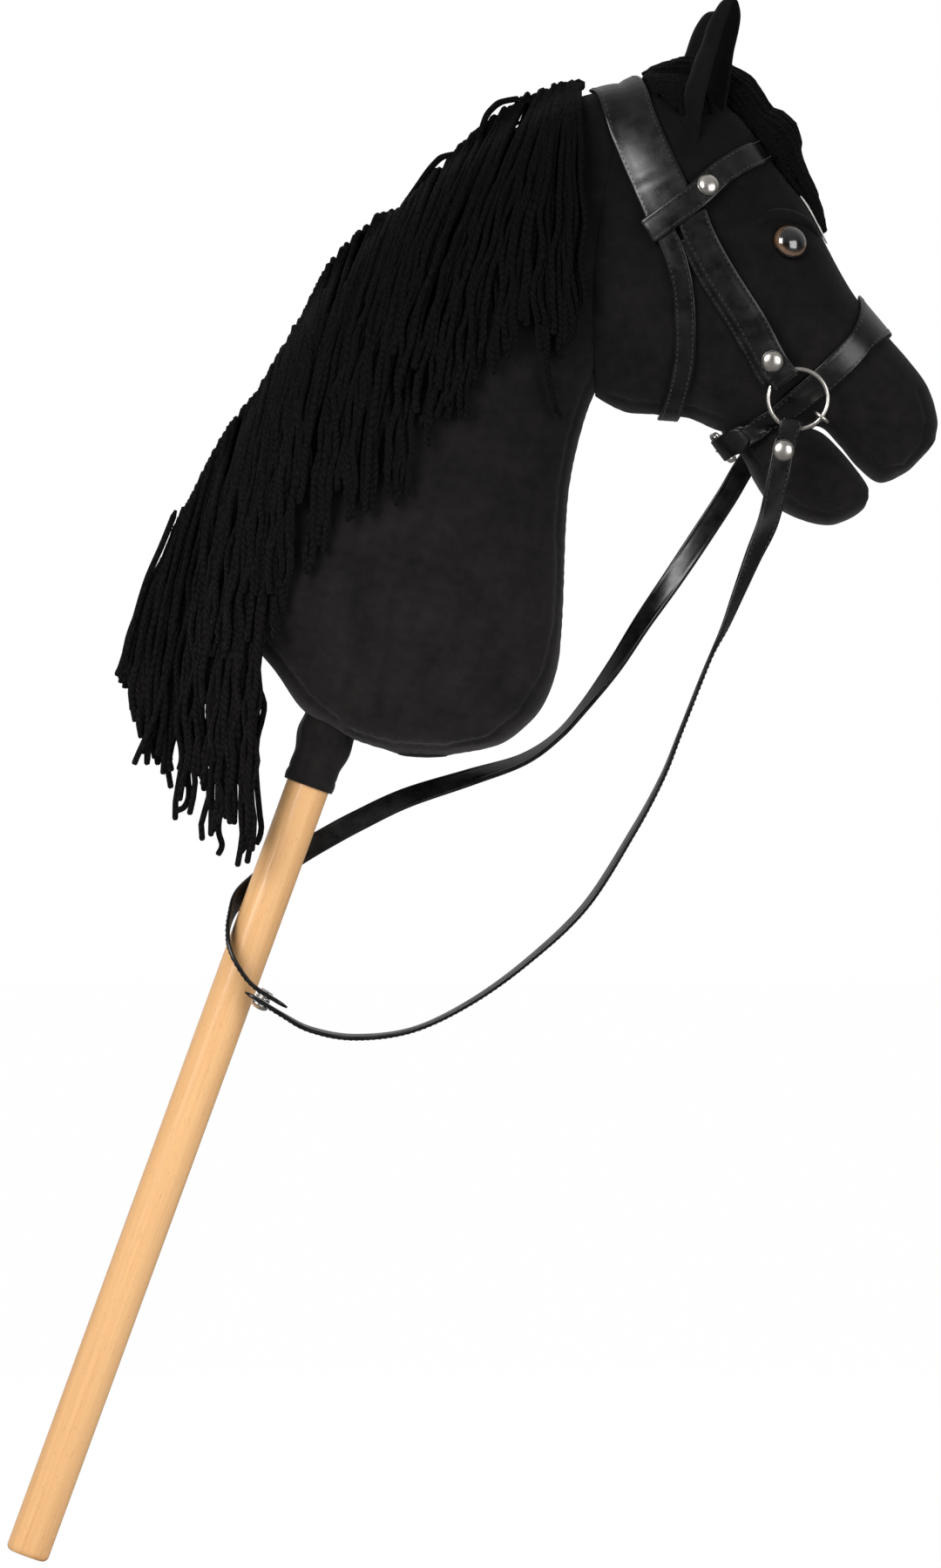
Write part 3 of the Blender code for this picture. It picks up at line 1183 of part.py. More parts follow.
CREST = ((319, 841), (302.5, 825), (270, 803), (240, 775.5), (212.5, 750.5), (187.5, 720.5), (165, 688),
         (142.5, 648), (134, 629))
tape_bed = skin_bed(skin, [(x, 0, z) for x, z in CREST], MANE_TAPE_WIDTH, 3, 14 * MM)
along = run(0, tape_bed.along[-1], 16 * MM)
tape_points, tape_faces = strap(tape_bed, along, GAP + PILE + MANE_TAPE_T / 2 + 0 * along, MANE_TAPE_T)
add_object("mane_tape", tape_points, tape_faces, PLUSH)

# Where the strands leave the outline of the mane and where they end, as x and z in millimetres
STRANDS = Smooth((
    (317, 845, 319, 713), (300, 840.5, 307.5, 653), (284, 835, 285, 700.5), (259.5, 818.5, 269, 683),
    (240, 801.5, 249, 653), (215.5, 774.5, 218, 608), (198, 765, 201, 605.5), (175, 742, 182.5, 593),
    (160, 715.5, 161, 570.5), (146.5, 692.5, 145, 543), (133, 669.5, 135, 413), (119.5, 654, 124, 403),
    (110, 638.5, 111, 404), (98.5, 616, 92.5, 425.5), (85.5, 594.5, 75, 445.5), (77, 575, 62.5, 473),
    (71, 565.5, 55, 503),
))
LOCKS = ((0.2, 3.96), (4.0, 6.96), (7.0, 9.96), (10.0, 12.96), (13.0, 16.0))
LOCK_DROPS = (0.013, 0.04, 0.08, 0.14, 0.23, 0.36, 0.53, 0.7, 0.86, 1.0)
FAR_LOWEST = 432 * MM
LOCK_GAP = GAP / 2


def strand_on_skin(row, side):
    """Points down one strand: out from the middle by what lies under it, never falling back fast."""
    start, end = np.array([row[0], row[1]]) * MM, np.array([row[2], row[3]]) * MM
    if side == FAR and end[1] < FAR_LOWEST:
        end = start + (end - start) * (start[1] - FAR_LOWEST) / (start[1] - end[1])
    shares = np.linspace(0, 1, 160)
    flat = start + (end - start) * shares[:, None]
    step = np.linalg.norm(end - start) / 159
    out, met = [], None
    for index, (x, z) in enumerate(flat):
        hit = yarn_skin.ray_cast(Vector((x, -0.4, z)), Vector((0, 1, 0)))
        seen = -hit[0].y if hit[0] is not None else LOCK_GAP
        if met is None and seen > LOCK_GAP:
            met = index
        out.append(max(seen, LOCK_GAP, out[-1] - YARN_LEAN * step if out else 0))
    return flat, np.array(out), shares, met


def lock_form(first, last, side):
    """A thick slab of yarn over some of the strands, its inner face clear of the skin."""
    columns = 4
    inner = []
    mets = []
    strands = [strand_on_skin(row, side) for row in STRANDS.at(np.linspace(first, last, columns))]
    for flat, out, shares, met in strands:
        mets.append(shares[met] if met is not None else 0.35)
    for (flat, out, shares, met), start in zip(strands, mets):
        start = min(max(start, 0.02), 0.4)
        nodes = np.concatenate([[0, start - 0.008], start + (1 - start) * np.array(LOCK_DROPS)])
        level = np.interp(nodes, shares, out)
        for _ in range(6):
            short = out - np.interp(shares, nodes, level)
            for cell in range(len(nodes) - 1):
                inside = (shares >= nodes[cell]) & (shares <= nodes[cell + 1])
                lack = max(short[inside].max(), 0) if inside.any() else 0
                level[cell] += lack * 0.5
                level[cell + 1] += lack * 0.6
        place = np.stack([np.interp(nodes, shares, flat[:, 0]), side * level, np.interp(nodes, shares, flat[:, 1])], axis=1)
        inner.append(place)
    inner = np.array(inner)
    share = np.linspace(0, 1, inner.shape[1])
    thick = np.interp(share, [0, 0.35, 0.7, 1], [5 * MM, MANE_THICKNESS, MANE_THICKNESS * 0.8, MANE_TIP_THICKNESS])
    outer = inner + np.array([0, side, 0]) * thick[None, :, None]
    return slab(inner, outer)


for side_name, side in SIDES.items():
    for index, (first, last) in enumerate(LOCKS):
        add_object(f"{side_name}_lock_{index + 1}", *lock_form(first, last, side), YARN)


# Yarn on the poll between the ears, and the forelock over the browband

FORELOCK_ROUTE = [(x, 0, z) for x, z in ((353.5, 848), (366, 849), (380, 846), (392, 841), (402, 834.5), (412, 824),
                                         (425, 806), (439, 785), (456, 759), (459, 755))]
FORELOCK_FROM = 49.0 * MM
YARN_WIDTHS = ([0, 0.35, 0.65, 1], np.array([22, 27, 38, 27]) * MM)
YARN_HEIGHTS = ([0, 0.08, 0.25, 0.42, 0.58, 0.7, 0.85, 1], np.array([4, 11, 18, 20, 19, 14, 8, 3]) * MM)
forelock_bed = skin_bed(skin, FORELOCK_ROUTE, lambda t: np.interp(t, *YARN_WIDTHS), 7, 6 * MM)
over_band = GAP + BROWBAND_T + GAP
yarn_end = forelock_bed.along[-1]
for name, start, end in (("poll_tuft", 0, FORELOCK_FROM - GAP / 2), ("forelock", FORELOCK_FROM + GAP / 2, yarn_end)):
    along = run(start, end, 9 * MM)
    swell = np.interp(along / yarn_end, *YARN_HEIGHTS)
    add_object(name, *pad_on(forelock_bed, along, over_band, swell), YARN)


# Pieces that move turn about their own origins, and the reins hang from the axis through both rings

turn_about(mouthpiece, (bit_x, 0, bit_z))
turn_about(buckle_prong, heel_point)
rein_axis = Vector((RING_AT[0], 0, RING_AT[1])) * MM
hanger = bpy.data.objects.new("reins_axis", None)
hanger.location = rein_axis
bpy.context.scene.collection.objects.link(hanger)
HANGING = ("near_rein", "far_rein", "near_rein_stud", "far_rein_stud", "snap_cap", "snap_socket", "snap_stud", "snap_post")
for name in HANGING:
    piece = bpy.data.objects[name]
    piece.parent = hanger
    piece.location = -rein_axis


# The stick's foot stands at the origin whatever its length: all of it moves along the stick by the rest

for made in bpy.context.scene.collection.objects:
    if made.parent is None:
        made.location -= STICK_AXIS * stick_foot
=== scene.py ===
import math

import bpy
import numpy as np
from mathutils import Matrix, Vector
from mathutils.bvhtree import BVHTree


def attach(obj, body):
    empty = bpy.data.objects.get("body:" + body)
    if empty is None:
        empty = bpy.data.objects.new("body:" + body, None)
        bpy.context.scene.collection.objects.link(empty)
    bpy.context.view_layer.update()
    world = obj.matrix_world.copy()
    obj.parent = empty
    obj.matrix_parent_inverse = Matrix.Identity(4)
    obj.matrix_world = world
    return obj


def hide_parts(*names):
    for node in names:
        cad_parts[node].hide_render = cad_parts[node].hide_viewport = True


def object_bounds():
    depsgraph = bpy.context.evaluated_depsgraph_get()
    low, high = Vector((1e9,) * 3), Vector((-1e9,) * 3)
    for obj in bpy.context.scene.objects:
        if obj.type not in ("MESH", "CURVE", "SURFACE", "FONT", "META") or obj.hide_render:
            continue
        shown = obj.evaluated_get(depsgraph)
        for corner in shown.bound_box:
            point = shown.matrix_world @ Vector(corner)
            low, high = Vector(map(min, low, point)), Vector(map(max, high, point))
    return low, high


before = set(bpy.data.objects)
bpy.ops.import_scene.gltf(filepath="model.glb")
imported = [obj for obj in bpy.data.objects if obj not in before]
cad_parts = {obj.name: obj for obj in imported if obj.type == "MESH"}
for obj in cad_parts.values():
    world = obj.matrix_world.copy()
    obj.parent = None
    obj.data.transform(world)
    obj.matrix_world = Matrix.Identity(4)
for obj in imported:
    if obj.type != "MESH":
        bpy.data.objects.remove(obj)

# A stick hobby horse: a stuffed plush head on a beech dowel, with a yarn mane and a strap bridle.
# Metres, +Z up, +X the way the horse faces, -Y its near side; the stick leans as a rider holds it.

MM = 0.001
NEAR, FAR = -1, 1
SIDES = {"near": NEAR, "far": FAR}
cad_low, cad_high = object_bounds()


# Camera and room: a long lens looks square at the near side. The floor and the room are white to
# the camera. Glossy surfaces see the white wall behind the object and a dim room before it, and
# the lamps are large and soft, as in a plain studio.

lens = bpy.data.cameras.new("side_camera")
camera = bpy.data.objects.new("side_camera", lens)
bpy.context.scene.collection.objects.link(camera)
bpy.context.scene.camera = camera
lens.lens, lens.sensor_width = 400, 36
lens.clip_end = 200
camera.location = (0.255, -10.0, 0.443)
camera.rotation_euler = (math.pi / 2, 0, 0)
bpy.context.scene.view_settings.view_transform = "Standard"


class Value:
    """Something that varies over a surface: one output of a node. Arithmetic with it adds Math nodes."""

    def __init__(self, tree, socket):
        self.tree, self.socket = tree, socket

    def node(self, kind, sockets, output=0, **settings):
        """Adds any node: its settings first, then the values or links of its sockets."""
        made = self.tree.nodes.new(f"ShaderNode{kind}")
        for setting, value in settings.items():
            setattr(made, setting, value)
        for name, value in sockets.items():
            if isinstance(value, Value):
                self.tree.links.new(value.socket, made.inputs[name])
            else:
                made.inputs[name].default_value = value
        return Value(self.tree, made.outputs[output])

    def maths(self, operation, first, second=0.0):
        return self.node("Math", {0: first, 1: second}, operation=operation)

    def __add__(self, other):
        return self.maths("ADD", self, other)

    def __sub__(self, other):
        return self.maths("SUBTRACT", self, other)

    def __mul__(self, other):
        return self.maths("MULTIPLY", self, other)

    def __truediv__(self, other):
        return self.maths("DIVIDE", self, other)

    def part(self, index):
        """One of the three coordinates."""
        return self.node("SeparateXYZ", {0: self}, index)

    def within(self, low, high):
        """0 below low, 1 above high, and even between them."""
        return self.node("MapRange", {"Value": self, "From Min": low, "From Max": high}, clamp=True)

    def noise(self, scale, detail=2.0, roughness=0.5):
        sockets = {"Vector": self, "Scale": scale, "Detail": detail, "Roughness": roughness}
        return self.node("TexNoise", sockets)

    def stretched(self, *scale):
        return self.node("Mapping", {"Vector": self, "Scale": scale})

    def between(self, dark, light):
        """A colour from dark to light by this value."""
        return self.node("Mix", {0: self, 6: (*dark, 1), 7: (*light, 1)}, 2, data_type="RGBA")


class Finish:
    """The finish of one kind of surface: a shader with plain numbers, and what varies fed into it."""

    def __init__(self, name, **numbers):
        self.material = bpy.data.materials.new(name)
        self.material.use_nodes = True
        self.tree = self.material.node_tree
        self.shader = self.tree.nodes["Principled BSDF"]
        coordinates = self.tree.nodes.new("ShaderNodeTexCoord")
        self.place = Value(self.tree, coordinates.outputs["Object"])
        self.weave = Value(self.tree, coordinates.outputs["UV"])
        for socket, value in numbers.items():
            self.shader.inputs[socket.replace("_", " ")].default_value = value

    def feed(self, socket, value):
        self.tree.links.new(value.socket, self.shader.inputs[socket])

    def tint(self, colour, factor):
        self.feed("Base Color", colour.node("VectorMath", {0: colour, 3: factor}, operation="SCALE"))

    def painted_light_towards_foot(self, amount):
        """A factor near 1 that grows from the poll down to the bottom of the neck. It is painted light: a
        colour scaled by it is shaded over the head and lit towards the foot.
        """
        return (self.place.part(2).within(0.8, 0.5) - 0.55) * amount + 1

    def relief(self, *layers):
        """Bump layers, each a height, how strong, and how deep in metres, one over the other."""
        normal = None
        for height, strength, depth in layers:
            sockets = {"Height": height, "Strength": strength, "Distance": depth}
            if normal:
                sockets["Normal"] = normal
            normal = height.node("Bump", sockets)
        self.feed("Normal", normal)


def rays(tree):
    """Whether a ray comes from the camera, and whether it comes from a glossy surface."""
    path = tree.nodes.new("ShaderNodeLightPath")
    return Value(tree, path.outputs["Is Camera Ray"]), Value(tree, path.outputs["Is Glossy Ray"])


world = bpy.data.worlds.new("white_room")
bpy.context.scene.world = world
world.use_nodes = True
background = world.node_tree.nodes["Background"]
background.inputs["Color"].default_value = (1, 1, 1, 1)
seen, glossy = rays(world.node_tree)
ahead = Value(world.node_tree, world.node_tree.nodes.new("ShaderNodeTexCoord").outputs["Generated"])
mirrored_room = ahead.part(1).within(-0.15, 0.6) * 0.3 + ahead.part(2).within(0.1, 0.9) * 0.22 + 0.035
DIM_ROOM = 0.45   # how bright the room is to all but the camera
strength = seen + (seen * -1 + 1) * (glossy * (mirrored_room - DIM_ROOM) + DIM_ROOM)
world.node_tree.links.new(strength.socket, background.inputs["Strength"])

floor_mesh = bpy.data.meshes.new("floor")
floor_level = cad_low.z - 0.0005
corners = [(x, y, floor_level) for x, y in ((-30, -30), (30, -30), (30, 30), (-30, 30))]
floor_mesh.from_pydata(corners, [], [range(4)])
floor = bpy.data.objects.new("floor", floor_mesh)
bpy.context.scene.collection.objects.link(floor)
floor_finish = Finish("white_floor", Roughness=0.9)
seen, glossy = rays(floor_finish.tree)
floor_finish.feed("Base Color", glossy.between((0.86, 0.86, 0.86), (0.12, 0.12, 0.12)))
lit = Value(floor_finish.tree, floor_finish.shader.outputs[0])
white = seen.node("Emission", {"Color": (1, 1, 1, 1), "Strength": 1.0})
mixed = seen.node("MixShader", {0: seen * 0.99, 1: lit, 2: white})
floor_finish.tree.links.new(mixed.socket, floor_finish.tree.nodes["Material Output"].inputs["Surface"])
floor_mesh.materials.append(floor_finish.material)

LIT_POINT = Vector((0.28, 0, 0.6))
# Each lamp: its name, place, width and power
LAMPS = (
    ("key", (-1.3, -2.3, 1.75), 1.5, 60),
    ("fill", (2.1, -1.9, 0.9), 1.6, 24),
    ("back", (-0.6, 2.4, 1.7), 1.6, 44),
)
for name, at, size, power in LAMPS:
    lamp_data = bpy.data.lights.new(f"{name}_lamp", "AREA")
    lamp_data.size, lamp_data.energy = size, power
    lamp = bpy.data.objects.new(f"{name}_lamp", lamp_data)
    lamp.location = at
    lamp.visible_glossy = name != "back"
    lamp.rotation_euler = (LIT_POINT - Vector(at)).to_track_quat("-Z", "Y").to_euler()
    bpy.context.scene.collection.objects.link(lamp)


# Stick: a beech dowel 25 mm thick with softly rounded ends, clear varnished. Its grain runs along it
# and shows the short dark flecks of beech.

STICK_LEAN = math.radians(20.1)
STICK_AXIS = np.array([math.sin(STICK_LEAN), 0, math.cos(STICK_LEAN)])
STICK_R, STICK_LENGTH, STICK_EDGE = 12.5 * MM, 800 * MM, 3.6 * MM
AXLE = 0.05 * MM   # the radius at which a turned profile starts and ends, so that its tips stay small discs


def tubes(name, rings, finish, node=None, body="horse", sharp=None, closed=False):
    """Closed tubes through rings of points, as tubes by rings by points around, in place of a node.

    Faces join each ring to the next and each end is closed by one face. They are turned outwards
    if the volume comes out negative. The UV map holds the share round and the metres along. Edges
    above the angle sharp, in degrees, stay sharp.
    """
    rings = np.asarray(rings, float)
    rings = rings[None] if rings.ndim == 3 else rings
    count, length, around = rings.shape[:3]
    number = np.arange(count * length * around).reshape(count, length, around)
    cells = length if closed else length - 1
    here, there = number[:, :cells], np.roll(number, -1, 1)[:, :cells]
    quads = np.stack([here, np.roll(here, -1, 2), np.roll(there, -1, 2), there], -1).reshape(-1, 4)
    caps = np.concatenate([number[:, 0, ::-1], number[:, -1]])[: 0 if closed else None]
    middle = rings.mean(axis=2)
    middle = np.concatenate([middle, middle[:, :1]], axis=1)[:, : cells + 1]
    along = np.zeros((count, cells + 1))
    along[:, 1:] = np.cumsum(np.linalg.norm(np.diff(middle, axis=1), axis=2), axis=1)
    share = np.arange(around) / around
    u = np.broadcast_to(share[:, None] + np.array([0, 1, 1, 0]) / around, (count, cells, around, 4))
    v = np.stack([along[:, :-1], along[:, :-1], along[:, 1:], along[:, 1:]], -1)[:, :, None]
    wall = np.stack([u, np.broadcast_to(v, u.shape)], -1).reshape(-1, 4, 2)
    points = rings.reshape(-1, 3)
    at = points - points.mean(axis=0)
    volume = 0.0
    for group in (quads, caps):
        for k in range(1, group.shape[1] - 1):
            a, b, c = at[group[:, 0]], at[group[:, k]], at[group[:, k + 1]]
            volume += np.einsum("ij,ij->", a, np.cross(b, c))
    if volume < 0:
        quads, caps, wall = quads[:, ::-1], caps[:, ::-1], wall[:, ::-1]
    mesh = bpy.data.meshes.new(name)
    mesh.vertices.add(len(points))
    mesh.vertices.foreach_set("co", points.astype(np.float32).ravel())
    mesh.loops.add(quads.size + caps.size)
    mesh.loops.foreach_set("vertex_index", np.append(quads, caps).astype(np.int32))
    sizes = np.repeat([4, around], [len(quads), len(caps)])
    mesh.polygons.add(len(sizes))
    mesh.polygons.foreach_set("loop_start", np.append(0, np.cumsum(sizes)[:-1]).astype(np.int32))
    uvs = np.append(wall.ravel(), np.zeros(2 * caps.size)).astype(np.float32)
    mesh.uv_layers.new(name="weave").data.foreach_set("uv", uvs)
    mesh.update(calc_edges=True)
    mesh.validate()
    mesh.shade_smooth()
    mesh.materials.append(finish.material)
    made = bpy.data.objects.new(name, mesh)
    bpy.context.scene.collection.objects.link(made)
    if sharp:
        made.data.set_sharp_from_angle(angle=math.radians(sharp))
    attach(made, body)
    if node:
        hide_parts(node)
    return made


def unit(vectors):
    """The vectors at length 1."""
    vectors = np.asarray(vectors, float)
    return vectors / np.linalg.norm(vectors, axis=-1, keepdims=True)


def blend(first, second, share):
    """From the first at share 0 to the second at share 1."""
    return first * (1 - share) + second * share


def all_round(steps):
    """Evenly spaced angles, once round."""
    return np.linspace(0, 2 * math.pi, steps, endpoint=False)


def round_about(first, second, steps):
    """Unit points round a circle whose axes run along the first and second direction."""
    angle = all_round(steps)[:, None]
    return np.cos(angle) * first + np.sin(angle) * second


def turned(profile, at, direction, around=48):
    """Rings of a turned shape: pairs of radius and height, spun about a direction through a point."""
    z = unit(direction)
    x = np.cross((0, 1, 0), z)
    x = unit(x) if np.linalg.norm(x) > 1e-6 else np.array([0.0, 0, 1])
    radius, height = np.array(profile, float).T[..., None, None]
    return np.asarray(at) + radius * round_about(x, np.cross(z, x), around) + height * z


def quarter(radius_from, height_from, radius_to, height_to, steps=6):
    """Profile points round a quarter of an ellipse that leaves square to the axis and arrives along it."""
    turn = np.linspace(0, math.pi / 2, steps)
    across = radius_from + (radius_to - radius_from) * (1 - np.cos(turn))
    return list(zip(across, height_from + (height_to - height_from) * np.sin(turn)))


beech = Finish("beech", Roughness=0.32, Coat_Weight=0.5, Coat_Roughness=0.13, Specular_IOR_Level=0.4)
grain = beech.place.node("Mapping", {"Vector": beech.place, "Rotation": (0, -STICK_LEAN, 0)})
bands, streaks = grain.stretched(1, 1, 0.035).noise(90, 3), grain.stretched(1, 1, 0.02).noise(700, 3)
flecks = grain.stretched(1, 1, 0.14).noise(1500, 1.0).within(0.66, 0.72)
wood = bands.within(0.25, 0.75) * 0.6 + streaks.within(0.2, 0.8) * 0.4
wood = wood.between((0.66, 0.345, 0.135), (0.89, 0.54, 0.255))
flecked = flecks.node("Mix", {0: flecks * 0.26, 6: wood, 7: (0.36, 0.16, 0.06, 1)}, 2, data_type="RGBA")
beech.feed("Base Color", flecked)
beech.feed("Roughness", streaks * 0.12 + 0.27)
beech.relief((streaks, 0.25, 0.00012), (flecks, 0.3, 0.00008))

turn = np.linspace(0, math.pi / 2, 8)
edge = list(zip(STICK_R - STICK_EDGE * (1 - np.sin(turn)), STICK_EDGE * (1 - np.cos(turn))))
edge = [(AXLE, 0), *edge]
lengths = [(STICK_R, h) for h in np.linspace(STICK_EDGE, STICK_LENGTH - STICK_EDGE, 60)[1:-1]]
profile = edge + lengths + [(r, STICK_LENGTH - h) for r, h in edge[::-1]]
tubes("stick_dowel", turned(profile, (0, 0, 0), STICK_AXIS, 64), beech, "stick")


# Neck, head and lower jaw: bags of black short-pile plush, sewn from two sides with a gusset along
# the edge and stuffed firmly. Each is lofted through the same stations as its solid.

GAP, PILE = 0.35 * MM, 0.4 * MM
# Each station: x and z of an upper and a lower point of the outline, half the width, in millimetres
NECK_STATIONS = (
    (213, 460, 242, 459, 6), (188, 468, 271, 465, 26), (171, 477, 288, 477, 38), (157, 487, 298, 490, 45),
    (143, 507, 305, 509, 50), (127, 527, 307.5, 529, 53), (112, 553, 309, 557, 55), (105, 583, 310, 590, 55),
    (112, 613, 312, 613, 55), (129, 648, 317, 638, 54), (152, 690, 324, 661, 53), (177, 727, 335, 683, 52),
    (205, 758, 347, 713, 50), (237, 789, 359, 748, 47), (272, 814, 366, 783, 42), (302, 832, 367, 813, 35),
    (330, 841, 365, 834, 22), (343, 843, 358, 841, 6),
)
HEAD_STATIONS = (
    (318, 775, 313, 735, 14), (326, 815, 312, 698, 36), (340, 842, 320, 672, 45), (360, 848.5, 341, 657, 51),
    (385, 844, 361, 654.5, 54), (410, 826, 380, 652.5, 54), (429, 800, 396, 646, 52),
    (447.5, 776, 416, 641, 48), (460, 751, 436, 643, 43), (475, 724, 454, 648, 39),
    (490.5, 704.5, 466, 637.5, 36), (506, 687, 477, 624.5, 34), (517.5, 671, 490, 615.5, 30),
    (523, 653, 506, 622, 21), (522, 641, 516, 632, 7),
)
JAW_STATIONS = (
    (398, 655, 398, 646, 13), (408, 657, 404, 637, 21), (418, 655, 411.5, 629, 25), (430, 652, 418, 616, 27),
    (443, 649, 427, 604, 28), (456, 645, 443, 595, 28), (467, 635, 459, 591, 26), (477, 623, 471, 594, 22),
    (483, 614, 480, 600, 14), (483.5, 609, 483, 605.5, 5),
)
# Each form: its stations, the power of its sections, and how many rings its plain version has
FORMS = {
    "neck": (NECK_STATIONS, 2.5, 76), "head": (HEAD_STATIONS, 2.25, 73), "lower_jaw": (JAW_STATIONS, 2.2, 37),
}
TIP_TURN = 1.565   # just short of a quarter turn, so that a rounded end closes on a small disc


class Smooth:
    """A smooth curve through rows of numbers, in order: each piece is a cubic that leaves a row
    along the line between its two neighbours."""

    def __init__(self, rows):
        rows = np.asarray(rows, float)
        self.last = len(rows) - 1
        self.rows = np.vstack([2 * rows[0] - rows[1], rows, 2 * rows[-1] - rows[-2]])

    def at(self, spots):
        cell = np.clip(np.floor(spots).astype(int), 0, self.last - 1)
        f = (np.asarray(spots) - cell)[..., None]
        a, b, c, d = (self.rows[cell + k] for k in range(4))
        bend = (2 * a - 5 * b + 4 * c - d) * f**2 + (3 * (b - c) + d - a) * f**3
        return 0.5 * (2 * b + (c - a) * f + bend)

    def sample(self, count):
        return self.at(np.linspace(0, self.last, count))


def stuffed(name, rings=None, sides=54, grow=0.0, round_ends=0, tip=None):
    """Rings of a stuffed form, grown all round by some metres. Each section is a superellipse between
    its upper and lower outline points; the ends close on a point that stands out a little."""
    stations, power, few = FORMS[name]
    rows = Smooth((*stations[:-1], tip or stations[-1])).sample(rings or few) * MM
    upper, lower = (np.insert(rows[:, pair], 1, 0, axis=1) for pair in ([0, 1], [2, 3]))
    centre, axis = (upper + lower) / 2, unit(upper - lower)
    tall, wide = np.linalg.norm(upper - lower, axis=1) / 2 + grow, rows[:, 4] + grow
    angle = all_round(sides)
    u, v = (np.sign(way) * np.abs(way) ** (2 / power) for way in (np.cos(angle), np.sin(angle)))
    points = centre[:, None] + axis[:, None] * (tall[:, None] * u)[..., None]
    points[..., 1] += wide[:, None] * v
    stands_out = np.minimum(wide * 0.35, tall * 0.12) + grow
    first = centre[0] - unit(centre[1] - centre[0]) * stands_out[0]
    last = centre[-1] + unit(centre[-1] - centre[-2]) * stands_out[-1]
    turns = np.append(np.linspace(0, math.pi / 2, round_ends + 2)[1:-1], TIP_TURN)[:, None, None]
    start, end = (
        centre[k] + (points[k] - centre[k]) * np.cos(turns) + (point - centre[k]) * np.sin(turns)
        for k, point in ((0, first), (-1, last))
    )
    return np.concatenate([start[::-1], points, end])


def search_tree(*forms):
    """A search tree of closed forms, each given as rings, that are joined into one skin."""
    parts = [tubes(f"measure_{index}", rings, Finish("measure")) for index, rings in enumerate(forms)]
    for other in parts[1:]:
        join = parts[0].modifiers.new(other.name, "BOOLEAN")
        join.operation, join.object, join.solver = "UNION", other, "EXACT"
    bpy.context.view_layer.update()
    mesh = parts[0].evaluated_get(bpy.context.evaluated_depsgraph_get()).to_mesh()
    tree = BVHTree.FromPolygons([v.co.copy() for v in mesh.vertices], [p.vertices[:] for p in mesh.polygons])
    for part in parts:
        bpy.data.objects.remove(part)
    return tree


skin = search_tree(*(stuffed(name) for name in FORMS))


def smoothstep(low, high, values):
    """0 below low, 1 above high, and an even curve between them."""
    t = np.clip((np.asarray(values, float) - low) / (high - low), 0, 1)
    return t * t * (3 - 2 * t)


def bell(values, middle, width):
    """1 at the middle and falling off to both sides."""
    return np.exp(-(((values - middle) / width) ** 2))


def ripple(points, size, seed, waves=9):
    """Soft unevenness from -1 to 1: the mean of plane waves in many directions, about size long."""
    chance = np.random.default_rng(seed)
    ways = unit(chance.normal(size=(waves, 3))) * chance.uniform(0.7, 1.4, (waves, 1)) * 2 * math.pi / size
    return np.sin(points @ ways.T + chance.uniform(0, 6.3, waves)).sum(axis=-1) / waves**0.5 / 1.6


def beside(points, line):
    """For points seen from the side: how far each is from a line, and how far along its nearest spot is."""
    flat, line = points[..., [0, 2]], np.asarray(line, float) * MM
    away, along, passed = np.full(points.shape[:-1], 9.0), np.zeros(points.shape[:-1]), 0.0
    for a, b in zip(line[:-1], line[1:]):
        step = b - a
        share = np.clip((flat - a) @ step / (step @ step), 0, 1)
        gap = np.linalg.norm(flat - a - share[..., None] * step, axis=-1)
        along = np.where(gap < away, passed + share * np.linalg.norm(step), along)
        away = np.minimum(gap, away)
        passed += np.linalg.norm(step)
    return away, along


def sewn(rings, seams, seed):
    """Presses seams into a stuffed form: a narrow groove, small puckers beside it, and soft hollows."""
    out = np.cross(np.roll(rings, -1, axis=1) - np.roll(rings, 1, axis=1), np.gradient(rings, axis=0))
    out = out / np.maximum(np.linalg.norm(out, axis=-1, keepdims=True), 1e-12)
    out = out * np.sign((out * (rings - rings.mean(axis=1, keepdims=True))).sum())
    move = -0.45 * MM * (1 + ripple(rings, 60 * MM, seed)) * 0.5
    for line in seams:
        away, along = beside(rings, line)
        pucker = np.sin(along / (7.5 * MM) * 2 * math.pi + 2 * np.sin(along / (31 * MM) * 2 * math.pi))
        move -= (0.8 * bell(away, 0, 1.3 * MM) + bell(away, 0, 5 * MM) * (0.3 + 0.25 * pucker)) * MM
    return rings + out * move[..., None]


def plush_finish(name, low, high, sheen, glow, painted_light_amount=0.0):
    """Short pile: paler in patches where it leans, with a soft sheen at the edges. Painted light makes it
    darker over the head and paler, with more sheen, towards the foot.
    """
    made = Finish(name, Roughness=0.9, Specular_IOR_Level=0.12, Sheen_Roughness=0.38, Sheen_Tint=glow)
    leaning = made.place.noise(38, 4, 0.65) * 0.65 + made.place.noise(150, 2) * 0.35
    pile = made.place.noise(2600, 2)
    # Painted light: colour and sheen are scaled by height, shaded over the head and lit towards the foot.
    painted_light_factor = made.painted_light_towards_foot(painted_light_amount)
    made.tint((leaning.within(0.32, 0.68) * 0.75 + pile * 0.25).between(low, high), painted_light_factor)
    made.feed("Sheen Weight", painted_light_factor * sheen)
    made.relief((leaning, 0.35, 0.0015), (made.place.noise(420, 2), 0.3, 0.0005), (pile, 0.55, 0.0003))
    return made


plush_tones = (0.0030, 0.0027, 0.0027), (0.0125, 0.0112, 0.0108)
plush = plush_finish("black_plush", *plush_tones, 0.2, (0.55, 0.52, 0.52, 1), 0.95)

